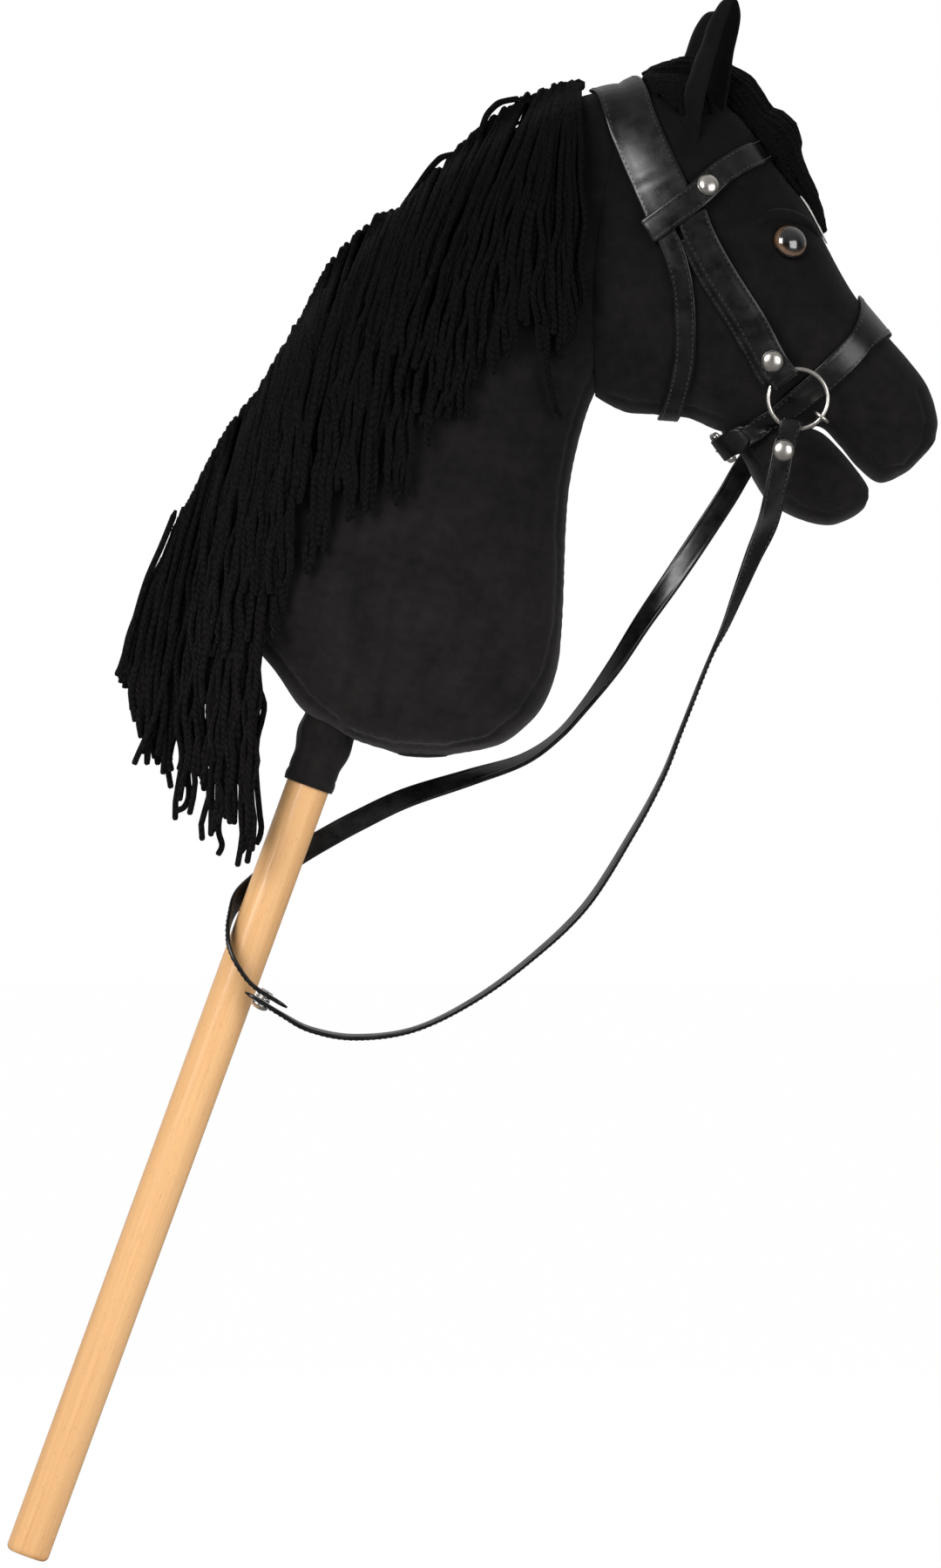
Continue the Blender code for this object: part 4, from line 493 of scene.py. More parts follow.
NECK_SEAMS = [
    [(329, 686), (319, 664), (312, 640), (307, 613), (305, 590), (306, 568.5), (304.3, 535), (298, 507.5),
     (283, 483.5), (264.5, 468.5), (238.5, 463.5), (209, 465.5), (190.5, 471), (184, 474)],
    [(178, 480), (163, 492), (149, 510), (133, 530), (118, 556), (111, 583), (118, 611), (134, 644)],
]
HEAD_SEAMS = [
    [(335, 665), (348, 661), (366, 659.5), (384, 657.5), (399, 651.5)],
    [(474, 646), (481, 634), (491, 623), (504, 625), (514, 637), (517, 653), (512, 668)],
]
JAW_SEAMS = [
    [(409, 640), (416, 631), (424, 620), (431, 609.5), (445, 601), (459, 597), (469, 600), (476, 607)],
]


def seen_on(x, z, side=NEAR, tree=skin):
    """The skin point and outward direction met by looking straight at one side."""
    return tree.ray_cast(Vector((x, side * 0.4, z)), Vector((0, -side, 0)))[:2]


def on_skin(pairs, side=NEAR):
    """The points of a route on the skin, in millimetres, from their x and z in the side view."""
    return [tuple(seen_on(x * MM, z * MM, side)[0] / MM) for x, z in pairs]


eye_seats = [tuple(np.array(v) for v in seen_on(437.5 * MM, 752.5 * MM, side)) for side in SIDES.values()]


def press_eye(rings):
    """Sinks the plush under each eye to a flat seat, deepest at its middle, so that the rim beds in."""
    for seat, facing in eye_seats:
        across = np.linalg.norm(np.cross(rings - seat, facing), axis=-1)
        height = (rings - seat) @ facing
        sink = (1 - smoothstep(9.6 * MM, 12.5 * MM, across)) * (np.abs(height) < 9 * MM)
        rings = rings - facing * ((height + 1.5 * MM) * sink)[..., None]
    return rings


muzzle_end, chin_end = (522, 641, 516, 632, 14), (483.5, 609, 483, 605.5, 9.5)
neck_rings = sewn(stuffed("neck", 250, 216, 0, 6), NECK_SEAMS, 3)
head_rings = press_eye(sewn(stuffed("head", 200, 200, 0, 6, muzzle_end), HEAD_SEAMS, 5))
jaw_rings = sewn(stuffed("lower_jaw", 110, 120, 0, 6, chin_end), JAW_SEAMS, 8)
bore, bore_low, bore_top = STICK_R + GAP, 400 * MM, STICK_LENGTH + GAP
stick_way = [(2 * AXLE, bore_low), (bore, bore_low), (bore, bore_top), (2 * AXLE, bore_top)]

# Each bag is cut away where another form fills it, grown by a hair, so that the two meet in a crease.
for name, rings, filled in (
    ("neck", neck_rings, turned(stick_way, (0, 0, 0), STICK_AXIS)),
    ("head", head_rings, stuffed("neck", grow=GAP, round_ends=2)),
    ("lower_jaw", jaw_rings, stuffed("head", grow=GAP, round_ends=2)),
):
    bag, cutter = tubes(f"{name}_plush", rings, plush, name), tubes("trimmer", filled, Finish("measure"))
    trim = bag.modifiers.new("trim", "BOOLEAN")
    trim.operation, trim.object, trim.solver = "DIFFERENCE", cutter, "EXACT"
    bpy.context.view_layer.update()
    mesh = bpy.data.meshes.new_from_object(bag.evaluated_get(bpy.context.evaluated_depsgraph_get()))
    bag.modifiers.clear()
    bag.data = mesh
    bpy.data.objects.remove(cutter)
    mesh.materials.clear()
    mesh.materials.append(plush.material)
    mesh.shade_smooth()
    mesh.set_sharp_from_angle(angle=math.radians(48))


# Collar: a plush tube closed round the stick under the neck, with a doubled and stitched hem at the
# bottom and small gathers where it is sewn to the neck.

HEM, COLLAR_TOP = 471 * MM, 520 * MM
heights, angles = np.linspace(HEM, COLLAR_TOP, 44), all_round(96)
above_hem, h = heights - HEM, heights[:, None]
collar_r = STICK_R + GAP + 1.6 * MM + 2.2 * MM * smoothstep(7 * MM, 34 * MM, above_hem)
collar_r += 0.45 * MM * bell(above_hem, 3.2 * MM, 2.6 * MM) - 0.35 * MM * bell(above_hem, 6.6 * MM, 0.9 * MM)
gather = smoothstep(HEM + 12 * MM, COLLAR_TOP - 8 * MM, h)
folds = np.sin(angles * 9 + h * 60) * 0.5 + np.sin(angles * 5 - 1.2 + h * 95) * 0.5
drawn_in = np.sin((h - HEM) / (24 * MM) * 2 * math.pi + 1.4 * np.sin(angles + 0.6) + 1.2)
drawn_in = drawn_in * smoothstep(HEM + 6 * MM, HEM + 18 * MM, h)
outer = collar_r[:, None] + gather * (folds - 0.4) * 1.3 * MM + drawn_in * 0.75 * MM
round_way = round_about(np.array([STICK_AXIS[2], 0, -STICK_AXIS[0]]), np.array([0.0, 1, 0]), 96)
outside = outer[..., None] * round_way + h[..., None] * STICK_AXIS
inside = (STICK_R + GAP * 0.6) * round_way + h[..., None] * STICK_AXIS
lip_low = (collar_r[0] - 0.6 * MM) * round_way + (HEM - 0.5 * MM) * STICK_AXIS
around_wall = np.swapaxes(np.concatenate([outside, inside[::-1], lip_low[None]]), 0, 1)
collar = tubes("collar_plush", around_wall, plush, "stick_sleeve", closed=True)


# Eyes: round plastic safety eyes with a dark pupil in a brown ring, pressed into the plush and held
# by a washer behind it. Over each lies a soft roll of plush as an eyelid.

EYE_R, EYE_DOME, EYE_SEAT, EYE_RIM = 10 * MM, 7 * MM, 1.4 * MM, 1.2 * MM
SHANK_R, SHANK_END = 2 * MM, -EYE_SEAT - 12 * MM
EYE_TONES = (
    (0.0, (0.0012, 0.001, 0.0008, 1)), (0.70, (0.0015, 0.001, 0.0008, 1)), (0.77, (0.03, 0.013, 0.006, 1)),
    (0.86, (0.15, 0.085, 0.048, 1)), (0.93, (0.12, 0.068, 0.038, 1)), (0.985, (0.005, 0.003, 0.002, 1)),
)


def eye_finish(name, seat, facing):
    """Rings of colour by the distance from a line along the eye's axis, under a clear gloss. The line is set
    a little up and back, so that the brown ring shows wider at its lower front: painted light on that side of
    the eye.
    """
    gloss = {"Coat_Weight": 1.0, "Coat_Roughness": 0.02, "Coat_IOR": 1.9}
    made = Finish(name, Roughness=0.2, Specular_IOR_Level=0.8, **gloss)
    # Painted light: the ring's centre is moved up and back so that the lower front of the brown ring is
    # wider.
    iris_at = tuple(seat + np.array([-0.5, 0, 0.6]) * MM)
    from_seat = made.place.node("VectorMath", {0: made.place, 1: iris_at}, operation="SUBTRACT")
    across = from_seat.node("VectorMath", {0: from_seat, 1: tuple(facing)}, operation="CROSS_PRODUCT")
    radius = across.node("VectorMath", {0: across}, 1, operation="LENGTH") / EYE_R
    ring = radius.node("ValToRGB", {"Fac": radius + from_seat.noise(900, 3) * 0.10 - 0.05})
    stops = ring.socket.node.color_ramp.elements
    while len(stops) < len(EYE_TONES):
        stops.new(0.5)
    for stop, (place, colour) in zip(stops, EYE_TONES):
        stop.position, stop.color = place, colour
    made.feed("Base Color", ring)
    made.relief((made.place.noise(300, 1), 0.02, 0.0002))
    return made


back = -EYE_SEAT + GAP
dome = [(r, back + h) for r, h in quarter(EYE_R, EYE_RIM, AXLE, EYE_RIM + EYE_DOME, 18)]
eye_profile = [
    (AXLE, SHANK_END), (SHANK_R, SHANK_END), (SHANK_R, back), (EYE_R - 0.5 * MM, back),
    (EYE_R - 0.1 * MM, back + 0.2 * MM), (EYE_R, back + 0.5 * MM), *dome,
]
hidden_plastic = Finish("white_plastic", Base_Color=(0.75, 0.75, 0.73, 1), Roughness=0.45)
hidden_plastic.relief((hidden_plastic.place.noise(500, 2), 0.1, 0.0001))
for side_name, (seat, facing) in zip(SIDES, eye_seats):
    eye = f"{side_name}_eye"
    tubes(f"{eye}_dome", turned(eye_profile, seat, facing, 64), eye_finish(eye, seat, facing), eye, sharp=50)
    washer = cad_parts[f"{eye}_washer"]
    washer.data.materials.clear()
    washer.data.materials.append(hidden_plastic.material)

# The columns of points across a strap, closest at its stitched edges
ACROSS = np.array([-1, -0.97, -0.9, -0.8, -0.7, -0.55, -0.28, 0, 0.28, 0.55, 0.7, 0.8, 0.9, 0.97, 1])


def travelled(points):
    """The distance along a line of points, from the first to each."""
    return np.append(0, np.cumsum(np.linalg.norm(np.diff(points, axis=0), axis=1)))


class Bed:
    """What a strap or a tuft is laid on: rows of points across its width, each with an outward direction.

    A place on it is given by the metres along, the metres above, and the share across from -1 to 1.
    """

    def __init__(self, points, facing, columns=ACROSS):
        self.points, self.facing, self.columns = points, facing, columns
        self.along = travelled(points.mean(axis=1))
        self.end = self.along[-1]

    def place(self, along, height):
        """Rows of points across, at each distance along and height above."""
        spot = np.interp(along, self.along, np.arange(len(self.along)))
        cell = np.minimum(spot.astype(int), len(self.along) - 2)
        f = (spot - cell)[:, None, None]
        beyond = along - np.clip(along, self.along[0], self.end)
        ends = unit(self.points[cell + 1] - self.points[cell])
        points = blend(self.points[cell], self.points[cell + 1], f) + ends * beyond[:, None, None]
        return points + unit(blend(self.facing[cell], self.facing[cell + 1], f)) * height[:, None, None]

    def spots(self, along, height, across):
        """Single points, of any array shape, at shares across."""
        along, height, across = np.broadcast_arrays(along, height, across)
        rows = self.place(along.ravel(), height.ravel())
        place = np.interp(across.ravel(), self.columns, np.arange(len(self.columns)))
        cell, pick = np.minimum(place.astype(int), len(self.columns) - 2), np.arange(len(rows))
        points = blend(rows[pick, cell], rows[pick, cell + 1], (place - cell)[:, None])
        return points.reshape(*along.shape, 3)

    def middle(self, along, height):
        return self.spots(np.atleast_1d(along), np.atleast_1d(height), 0.0)

    def nearest_along(self, point, first=0.0, last=1.0):
        """The distance along at which the bed passes nearest a point, within a part of its length."""
        spots = np.linspace(first, last, 400) * self.end
        away = np.linalg.norm(self.middle(spots, 0 * spots) - np.asarray(point), axis=1)
        return spots[np.argmin(away)]


def soften(values, passes):
    """Each pass replaces a row by a quarter of each neighbour and half of itself; the ends stay."""
    for _ in range(passes):
        inner = (values[:-2] + 2 * values[1:-1] + values[2:]) / 4
        values = np.concatenate([values[:1], inner, values[-1:]])
    return values


def evenly(columns, spacing):
    """Rows spaced evenly by the distance along their first three columns."""
    along = travelled(columns[:, :3])
    wanted = np.linspace(0, along[-1], max(3, round(along[-1] / spacing) + 1))
    return np.stack([np.interp(wanted, along, column) for column in columns.T], axis=1)


def nearest_on_skin(points):
    """The nearest skin points, and the outward directions there."""
    found = [skin.find_nearest(Vector(p)) for p in points.reshape(-1, 3)]
    return (np.array([f[k] for f in found]).reshape(points.shape) for k in (0, 1))


def skin_bed(route, width, spacing=4 * MM, columns=ACROSS):
    """A bed laid on the skin along a route. The width is a number or a function of the share along."""
    line = evenly(Smooth(np.array(route) * MM).sample(40 * len(route)), spacing)
    line, facing = nearest_on_skin(line)
    line = evenly(soften(line, 3), spacing)
    line, facing = nearest_on_skin(line)
    across = unit(np.cross(np.gradient(line, axis=0), unit(soften(facing, 4))))
    share = np.linspace(0, 1, len(line))
    half = (width(share) if callable(width) else width + 0 * share) / 2
    wanted = line[:, None] + across[:, None] * (half[:, None] * columns)[..., None]
    points, turns = nearest_on_skin(wanted)
    return Bed(points, unit(soften(turns, 4)), columns)


def leaf_width(widest, power):
    """A width that grows from its ends to the middle, by the share along."""
    return lambda share: widest * (0.3 + 0.7 * np.sin(math.pi * share) ** power)


def run(start, end, spacing=1.7 * MM):
    """Evenly spaced distances from start to end, either way."""
    return np.linspace(start, end, max(2, round(abs(end - start) / spacing) + 1))


LID_ROUTE = ((419, 763.5), (426.5, 768), (436, 768), (446, 764.5), (454.5, 757))
for side_name, side in SIDES.items():
    bed = skin_bed(on_skin(LID_ROUTE, side), leaf_width(8 * MM, 0.6), 1.5 * MM)
    along = run(0, bed.end, 1 * MM)
    swell = 3.4 * MM * (0.1 + 0.9 * np.sin(math.pi * along / bed.end) ** 0.8)
    low, high = bed.place(along, GAP * 0.3 + 0 * along), bed.place(along, GAP * 0.3 + swell)
    dome = np.sqrt(np.clip(1 - ACROSS**2, 0.02, 1))[None, :, None]
    roll = np.concatenate([low, (low + (high - low) * dome)[:, ::-1]], axis=1)
    tubes(f"{side_name}_eyelid_roll", roll, plush, f"{side_name}_eyelid")


# Ears: leaves of plush sewn double and turned, folded lengthwise so that they are hollow to the front,
# and sewn into the seam of the head. The far one stands a little further back.

EAR_ENDS = {"near": [(390, -33, 818), (406, -30, 893)], "far": [(383, 31.5, 820), (397, 30, 888)]}
EAR_WIDTH, EAR_WALL, EAR_HOLLOW, EAR_BOW, EAR_ROOT = 27 * MM, 4.5 * MM, math.radians(215), 2 * MM, 19 * MM
for side_name, side in SIDES.items():
    base, tip = np.array(EAR_ENDS[side_name]) * MM
    rise = unit(tip - base)
    forward = unit([0.85, side * 0.5, 0.1])
    forward = unit(forward - rise * (forward @ rise))
    t = np.linspace(0, 1, 60) ** 0.8
    leaf = np.interp(t, [0, 0.2, 0.45, 0.7, 1], [0.92, 1.1, 1.12, 0.88, 0.74])
    wide = EAR_WIDTH / 2 * leaf * np.sqrt(1.003 - t**16)
    wall = np.minimum(EAR_WALL * 1.2, wide * 0.8)
    centre = base + rise * (np.linalg.norm(tip - base) * t - EAR_ROOT * (1 - t))[:, None]
    centre = centre - forward * (EAR_BOW * np.sin(math.pi * np.minimum(t * 1.1, 1)))[:, None]
    place = np.linspace(-1, 1, 34)
    angle = (math.pi + EAR_HOLLOW / 2 * place)[:, None]
    way = np.cos(angle) * forward + np.sin(angle) * np.cross(rise, forward)
    plump = np.sqrt(np.clip(1 - np.abs(place) ** 3.5, 0.03, 1))
    outer_arc, inner_arc = (
        centre[:, None] + way * (wide[:, None] - wall[:, None] * (1 + face * plump) / 2)[..., None]
        for face in (-1, 1)
    )
    rings = np.concatenate([outer_arc, inner_arc[:, ::-1]], axis=1)
    seam, middle = bell(np.abs(place), 0.9, 0.035), (outer_arc + inner_arc) / 2
    pinch = np.concatenate([seam, seam[::-1]])[None, :, None]
    rings = rings + (np.concatenate([middle, middle[:, ::-1]], axis=1) - rings) * pinch * 0.3
    rings = rings + (rings - centre[:, None]) * (ripple(rings, 25 * MM, 11 + side) * 0.05)[..., None]
    tubes(f"{side_name}_ear_leaf", rings, plush, f"{side_name}_ear")


# Bridle straps: black imitation leather 2 mm thick, folded to a finished edge and stitched along both
# sides with black thread. The crown strap goes over the poll; the throat lash hangs under the jaw.

leather = Finish("black_leather", Specular_IOR_Level=0.45, Coat_Weight=0.25, Coat_Roughness=0.2)
creases = leather.place.noise(120, 3, 0.5)
worn = creases.within(0.3, 0.75)
pores = {"Vector": leather.place, "Scale": 1500.0}
cells = leather.place.node("TexVoronoi", pores, feature="DISTANCE_TO_EDGE")
leather.feed("Base Color", worn.between((0.0018, 0.0018, 0.0019), (0.0060, 0.0060, 0.0062)))
leather.feed("Roughness", worn * 0.18 + 0.22)
leather.relief((creases, 0.3, 0.0004), (cells.within(0, 0.3), 0.18, 0.00003))
thread = Finish("black_thread", Roughness=0.55, Sheen_Weight=0.3, Specular_IOR_Level=0.35)
thread.feed("Base Color", thread.place.noise(1200, 1).between((0.006, 0.006, 0.006), (0.022, 0.021, 0.021)))
thread.relief((thread.place.noise(3500, 1), 0.5, 0.0001))

STRAP_T, BROWBAND_T, LINING_T = 2.0 * MM, 1.4 * MM, 1.0 * MM
EDGE = np.interp(np.abs(ACROSS), [0, 0.6, 0.7, 0.8, 0.9, 0.97, 1], [1.05, 1.0, 0.9, 1.0, 0.98, 0.78, 0.4])
STITCH, STITCH_STEP, STITCH_R = 2.3 * MM, 3.3 * MM, 0.3 * MM
LINING_SHOWS = 3.6 * MM   # how far the cheek lining lies behind its strap


def upright(along, height):
    """The direction square to a run on a bed, as its shares along and up."""
    return unit(np.stack([-np.gradient(height), np.gradient(along)], axis=1)).T


def strap_rings(bed, along, height, thickness, narrow=None):
    """A strap whose middle follows (along, height) on a bed and may turn back over itself.
    Its edges are rounded and a shallow valley runs under each row of stitches."""
    on, up = upright(along, height) * thickness / 2
    middle = bed.place(along, height)
    lift = (bed.place(along + on, height + up) - middle) * EDGE[None, :, None]
    rings = np.concatenate([middle - lift, (middle + lift)[:, ::-1]], axis=1)
    if narrow is not None:
        core = middle.mean(axis=1, keepdims=True)
        rings = core + (rings - core) * narrow[:, None, None]
    return rings


def strap(name, node, bed, along, height, thickness, inset, first, last, body="horse", narrow=None, flip=1):
    """A strap with a row of stitches along each edge on its outer face. They are short round threads
    that dive in at both ends, and keep clear of the strap's first and last metres."""
    mirror = np.array([1, flip, 1])
    rings = strap_rings(bed, along, height, thickness, narrow) * mirror
    piece = tubes(f"{name}_leather", rings, leather, node, body)
    on, up = upright(along, height)
    passed = travelled(np.stack([along, height], axis=1))
    starts = np.arange(first, passed[-1] - last - STITCH, STITCH_STEP)
    at = starts[:, None] + STITCH * np.array([0, 0.3, 0.7, 1])
    rise = thickness / 2 + np.array([-0.25, 0.03, 0.03, -0.25]) * MM
    a, h, la, lh = (np.interp(at, passed, v) for v in (along, height, on, up))
    radius = (STITCH_R * np.array([0.4, 1, 1, 0.4]))[:, None, None]
    rows = []
    for share in (-1 + inset, 1 - inset):
        spot = bed.spots(a + la * rise, h + lh * rise, share)
        out = unit(bed.spots(a + la * 2 * MM, h + lh * 2 * MM, share) - bed.spots(a, h, share))
        across = np.cross(unit(np.gradient(spot, axis=1)), out)
        rows.append(spot[:, :, None] + radius * round_about(out[:, :, None], across[:, :, None], 5))
    return piece, tubes(f"{name}_stitches", np.concatenate(rows) * mirror, thread, body=body)


def over_middle(near_rows):
    """A route given from the near side to the middle line, carried on down the far side."""
    rows = [tuple(row) for row in near_rows]
    return rows + [(x, -y, z) for x, y, z in rows[-2::-1]]


BROWBAND_WIDTH = 14.5 * MM
STRAP_LAY = GAP + STRAP_T / 2
UNDER_BAND = GAP + BROWBAND_T + GAP + STRAP_T / 2
CHEEK_LAY = GAP + LINING_T + GAP + STRAP_T / 2
BAND_HOLD, THROAT_HOLD, BAND_EASE = BROWBAND_WIDTH / 2 + 9 * MM, 32 * MM, 11 * MM
CROWN_ROUTE = [*on_skin([(369.3, 769.5), (366, 778), (351, 812)]), (341, -17, 838), (335.7, 0, 845)]
THROAT_SIDE = [(364.3, 761), (369.5, 752), (375.8, 730), (378, 703), (377, 682), (372.5, 664)]
crown_bed = skin_bed(over_middle(CROWN_ROUTE), 29 * MM, 5 * MM)
throat_bed = skin_bed(over_middle([*on_skin(THROAT_SIDE), (368, 0, 653)]), 12 * MM, 5 * MM)
crown_bed = Bed(soften(crown_bed.points, 2), crown_bed.facing)
for name, bed, hold, inset in (
    ("crown_strap", crown_bed, BAND_HOLD, 0.15), ("throat_lash", throat_bed, THROAT_HOLD, 0.3),
):
    along = run(0, bed.end)
    raised = 1 - smoothstep(hold, hold + BAND_EASE, np.minimum(along, bed.end - along))
    height = blend(STRAP_LAY + PILE, UNDER_BAND, raised)
    strap(name, name, bed, along, height, STRAP_T, inset, 2 * MM, 2 * MM)


# Rings, bit and rivets: nickel-plated steel. A straight mouthpiece goes through the lips and ends in
# an eye round each ring; rivets with domed heads close the loops of the straps.

nickel = Finish("nickel", Base_Color=(0.88, 0.835, 0.77, 1), Metallic=1.0)
tarnish = nickel.place.noise(160, 3)
nickel.feed("Roughness", tarnish.within(0.35, 0.7) * 0.1 + 0.24)
nickel.relief((nickel.place.stretched(1, 1, 0.2).noise(1800, 2), 0.06, 0.0001), (tarnish, 0.05, 0.0004))

RING_X, RING_Z, RING_Y = 442.0, 663.0, 49.0
RING_R, RING_WIRE, RING_OFFSET, RING_MARGIN = 17.0 * MM, 2.5 * MM, RING_Y * MM, 8 * MM
BIT_ANGLE, BIT_R, BIT_EYE_R, BIT_EYE_WIRE = math.radians(-38), 2.5 * MM, 4.4 * MM, 2.2 * MM


def hoop(name, radius, thick, at, direction, body, node=None, steps=96, around=16):
    """A round wire bent to a ring about a direction."""
    circle = turned([(radius, 0)], at, direction, steps)[0]
    out = unit(circle - np.asarray(at))
    rings = circle[:, None] + thick / 2 * round_about(out[:, None], unit(direction), around)
    tubes(name, rings, nickel, node, body, closed=True)


def wire(name, points, radius, hint, body, node=None, closed=False):
    """A round wire swept along points, with slightly rounded ends."""
    size = np.full(len(points), radius)
    if closed:
        way = unit(np.roll(points, -1, axis=0) - np.roll(points, 1, axis=0))
    else:
        way = unit(np.gradient(points, axis=0))
        size[[0, -1]] *= 0.6
        size[[1, -2]] *= 0.9
    first = unit(np.cross(way, hint))
    ring = round_about(first[:, None], np.cross(way, first)[:, None], 14)
    tubes(name, points[:, None] + size[:, None, None] * ring, nickel, node, body, closed=closed)


ring_at = np.array([RING_X * MM, 0, RING_Z * MM])
bit_at = ring_at + RING_R * np.array([math.cos(BIT_ANGLE), 0, math.sin(BIT_ANGLE)])
bit_eye_axis = (-math.sin(BIT_ANGLE), 0, math.cos(BIT_ANGLE))
bar = np.linspace(-(RING_OFFSET - BIT_EYE_R), RING_OFFSET - BIT_EYE_R, 30)[:, None] * np.array([0, 1, 0])
wire("bit_bar", bit_at + bar, BIT_R, (1, 0, 0), "bit", "mouthpiece")
for side_name, side in SIDES.items():
    out, ring = np.array([0, side * RING_OFFSET, 0]), f"{side_name}_ring"
    hoop(f"{ring}_wire", RING_R, RING_WIRE, ring_at + out, (0, 1, 0), ring, ring)
    hoop(f"{side_name}_bit_eye", BIT_EYE_R, BIT_EYE_WIRE, bit_at + out, bit_eye_axis, "bit", None, 48, 12)

STUD_R, STUD_RIM, STUD_DOME, STUD_SHANK = 6.25 * MM, 0.6 * MM, 3.0 * MM, 1.6 * MM


def ring_line(angle, reach):
    """Points in the ring's plane on a line out from its centre to some metres beyond its wire, as x and z
    in millimetres."""
    spots = [RING_R - RING_MARGIN, RING_R, RING_R + reach]
    return [(RING_X + r / MM * math.cos(angle), RING_Z + r / MM * math.sin(angle)) for r in spots]


def turn_back(along, height, radius, steps=13):
    """The half circle of a fold, from below to above, whose nose points back along the strap."""
    angle = np.linspace(-math.pi / 2, math.pi / 2, steps)
    return along - radius * np.cos(angle), height + radius * np.sin(angle)


def round_ring(width, thickness, pinch, tail, closed, end, rise):
    """A strap's run round its ring: the lower leaf from its tail to the fold, and back over it to the
    end. The leaves draw together from the fold to where they are closed; rise adds to the upper one."""
    curve = RING_R - math.sqrt(RING_R**2 - (width / 2) ** 2)
    nose, radius = RING_MARGIN - curve - 0.2 * MM, RING_WIRE / 2 + GAP + thickness / 2
    flat = nose + curve + RING_WIRE / 2 + 0.6 * MM
    under, over = np.concatenate([run(tail, flat), run(flat, nose)[1:-1]]), run(nose, end)
    under_height, over_height = (np.interp(spots, [flat, closed], [radius, pinch]) for spots in (under, over))
    over_height = over_height + rise(over)
    fold_along, fold_height = turn_back(nose, 0.0, radius)
    along = np.concatenate([under, fold_along, over[1:]])
    height = soften(np.concatenate([-under_height, fold_height, over_height[1:]]), 1)
    return along, height, over, over_height


def add_stud(name, bed, stud_at, along, height, body="horse", flip=1):
    """A rivet set square to the outer leaf of a run that turns back once: a flat rim, then a low dome."""
    fold, mirror = int(np.argmin(along)), np.array([1, flip, 1])
    spots = np.array([stud_at - STUD_R, stud_at, stud_at + STUD_R])
    tops = np.interp(spots, along[fold:], height[fold:])
    before, here, ahead = bed.middle(spots, tops)
    out = bed.middle(stud_at, tops[1] + 1 * MM)[0] - here
    tangent = unit(ahead - before)
    out = unit(out - tangent * (out @ tangent))
    level = tangent * ((here - before) @ tangent) + before
    spot = here + out * max((level - here) @ out, 0.0)
    dome = quarter(STUD_R - 0.25 * MM, GAP + STUD_RIM, AXLE, GAP + STUD_RIM + STUD_DOME, 14)
    profile = [
        (AXLE, -1.5 * MM), (STUD_SHANK, -1.5 * MM), (STUD_SHANK, 0.1 * MM), (STUD_R - 0.4 * MM, 0.1 * MM),
        (STUD_R - 0.05 * MM, 0.3 * MM), (STUD_R, GAP + STUD_RIM * 0.7), *dome,
    ]
    rings = turned(profile, spot * mirror, out * mirror)
    return tubes(f"{name}_rivet", rings, nickel, f"{name}_stud", body, 55)


# Cheek straps: each goes round its ring, back under itself and is closed by a rivet. A thin lining
# lies between it and the plush, and shows behind it.

CHEEK_WIDTH, CHEEK_ANGLE = 17.5 * MM, math.radians(125)
CHEEK_ROUTE = ((415.2, 706.2), (397.5, 734), (386.5, 754), (380.8, 768.2))
CHEEK_STUD_AT = RING_MARGIN + 9 * MM
CHEEK_TAIL, CHEEK_CLOSED, CHEEK_PINCH = CHEEK_STUD_AT + 8 * MM, CHEEK_STUD_AT + 7 * MM, STRAP_T / 2 + GAP / 2


def cheek_bed():
    """The near cheek strap's bed: flat in the ring's plane, then clear of the skin by the lower leaf."""
    outline = [*ring_line(CHEEK_ANGLE, 8 * MM), *CHEEK_ROUTE]
    line = evenly(Smooth([(x * MM, -RING_OFFSET, z * MM) for x, z in outline]).sample(300), 4 * MM)
    across = unit(np.cross(np.gradient(line, axis=0), [0, -1, 0]))
    points = line[:, None] + across[:, None] * (0.5 * ACROSS * CHEEK_WIDTH)[None, :, None]
    hits = [[np.concatenate(seen_on(x, z)) for x, _, z in row] for row in points]
    spots, facing = np.split(np.array(hits), 2, axis=2)
    along = travelled(line)[:, None]
    lift = (CHEEK_LAY + STRAP_T / 2 + GAP * 1.5) * (1 - smoothstep(CHEEK_TAIL, CHEEK_TAIL + 20 * MM, along))
    lifted = lift - spots[..., 1]
    free = RING_OFFSET - lifted
    clear = lifted + (free + np.sqrt(free**2 + MM**2)) / 2
    laid = smoothstep(RING_MARGIN + 3 * MM, RING_MARGIN + 13 * MM, along)
    points[..., 1] = -blend(RING_OFFSET, clear, laid)
    turned_in = smoothstep(RING_MARGIN + 8 * MM, CHEEK_TAIL + 15 * MM, along)[..., None]
    return Bed(points, unit(blend(np.array([0, -1, 0]), soften(facing, 4), turned_in)))


def cheek_rise(spots):
    """From the closed leaves down onto the lining, and up again where the browband goes under it."""
    to_lining = smoothstep(CHEEK_CLOSED, CHEEK_TAIL + 20 * MM, spots)
    to_band = 1 - smoothstep(BAND_HOLD, BAND_HOLD + BAND_EASE, cheek.end - spots)
    return (CHEEK_LAY - CHEEK_PINCH) * to_lining + (UNDER_BAND - CHEEK_LAY) * to_band


cheek = cheek_bed()
cheek_along, cheek_height, over, over_height = round_ring(
    CHEEK_WIDTH, STRAP_T, CHEEK_PINCH, CHEEK_TAIL, CHEEK_CLOSED, cheek.end, cheek_rise
)
beside_it = unit(cheek.points[:, -1:] - cheek.points[:, :1])
lining_bed = Bed(cheek.points - beside_it * LINING_SHOWS, cheek.facing)
lining_along = run(over[0] + 2.5 * MM, cheek.end - 10.5 * MM)
lower_leaf = np.interp(lining_along, [CHEEK_TAIL, CHEEK_TAIL + 4 * MM], [STRAP_T + GAP, 0])
lining_height = np.interp(lining_along, over, over_height) - lower_leaf
lining_height = soften(lining_height - STRAP_T / 2 - GAP * 0.7 - LINING_T / 2, 3)
cheek_run = cheek, cheek_along, cheek_height, STRAP_T, 0.22, CHEEK_TAIL - over[0] + 5 * MM, 1 * MM
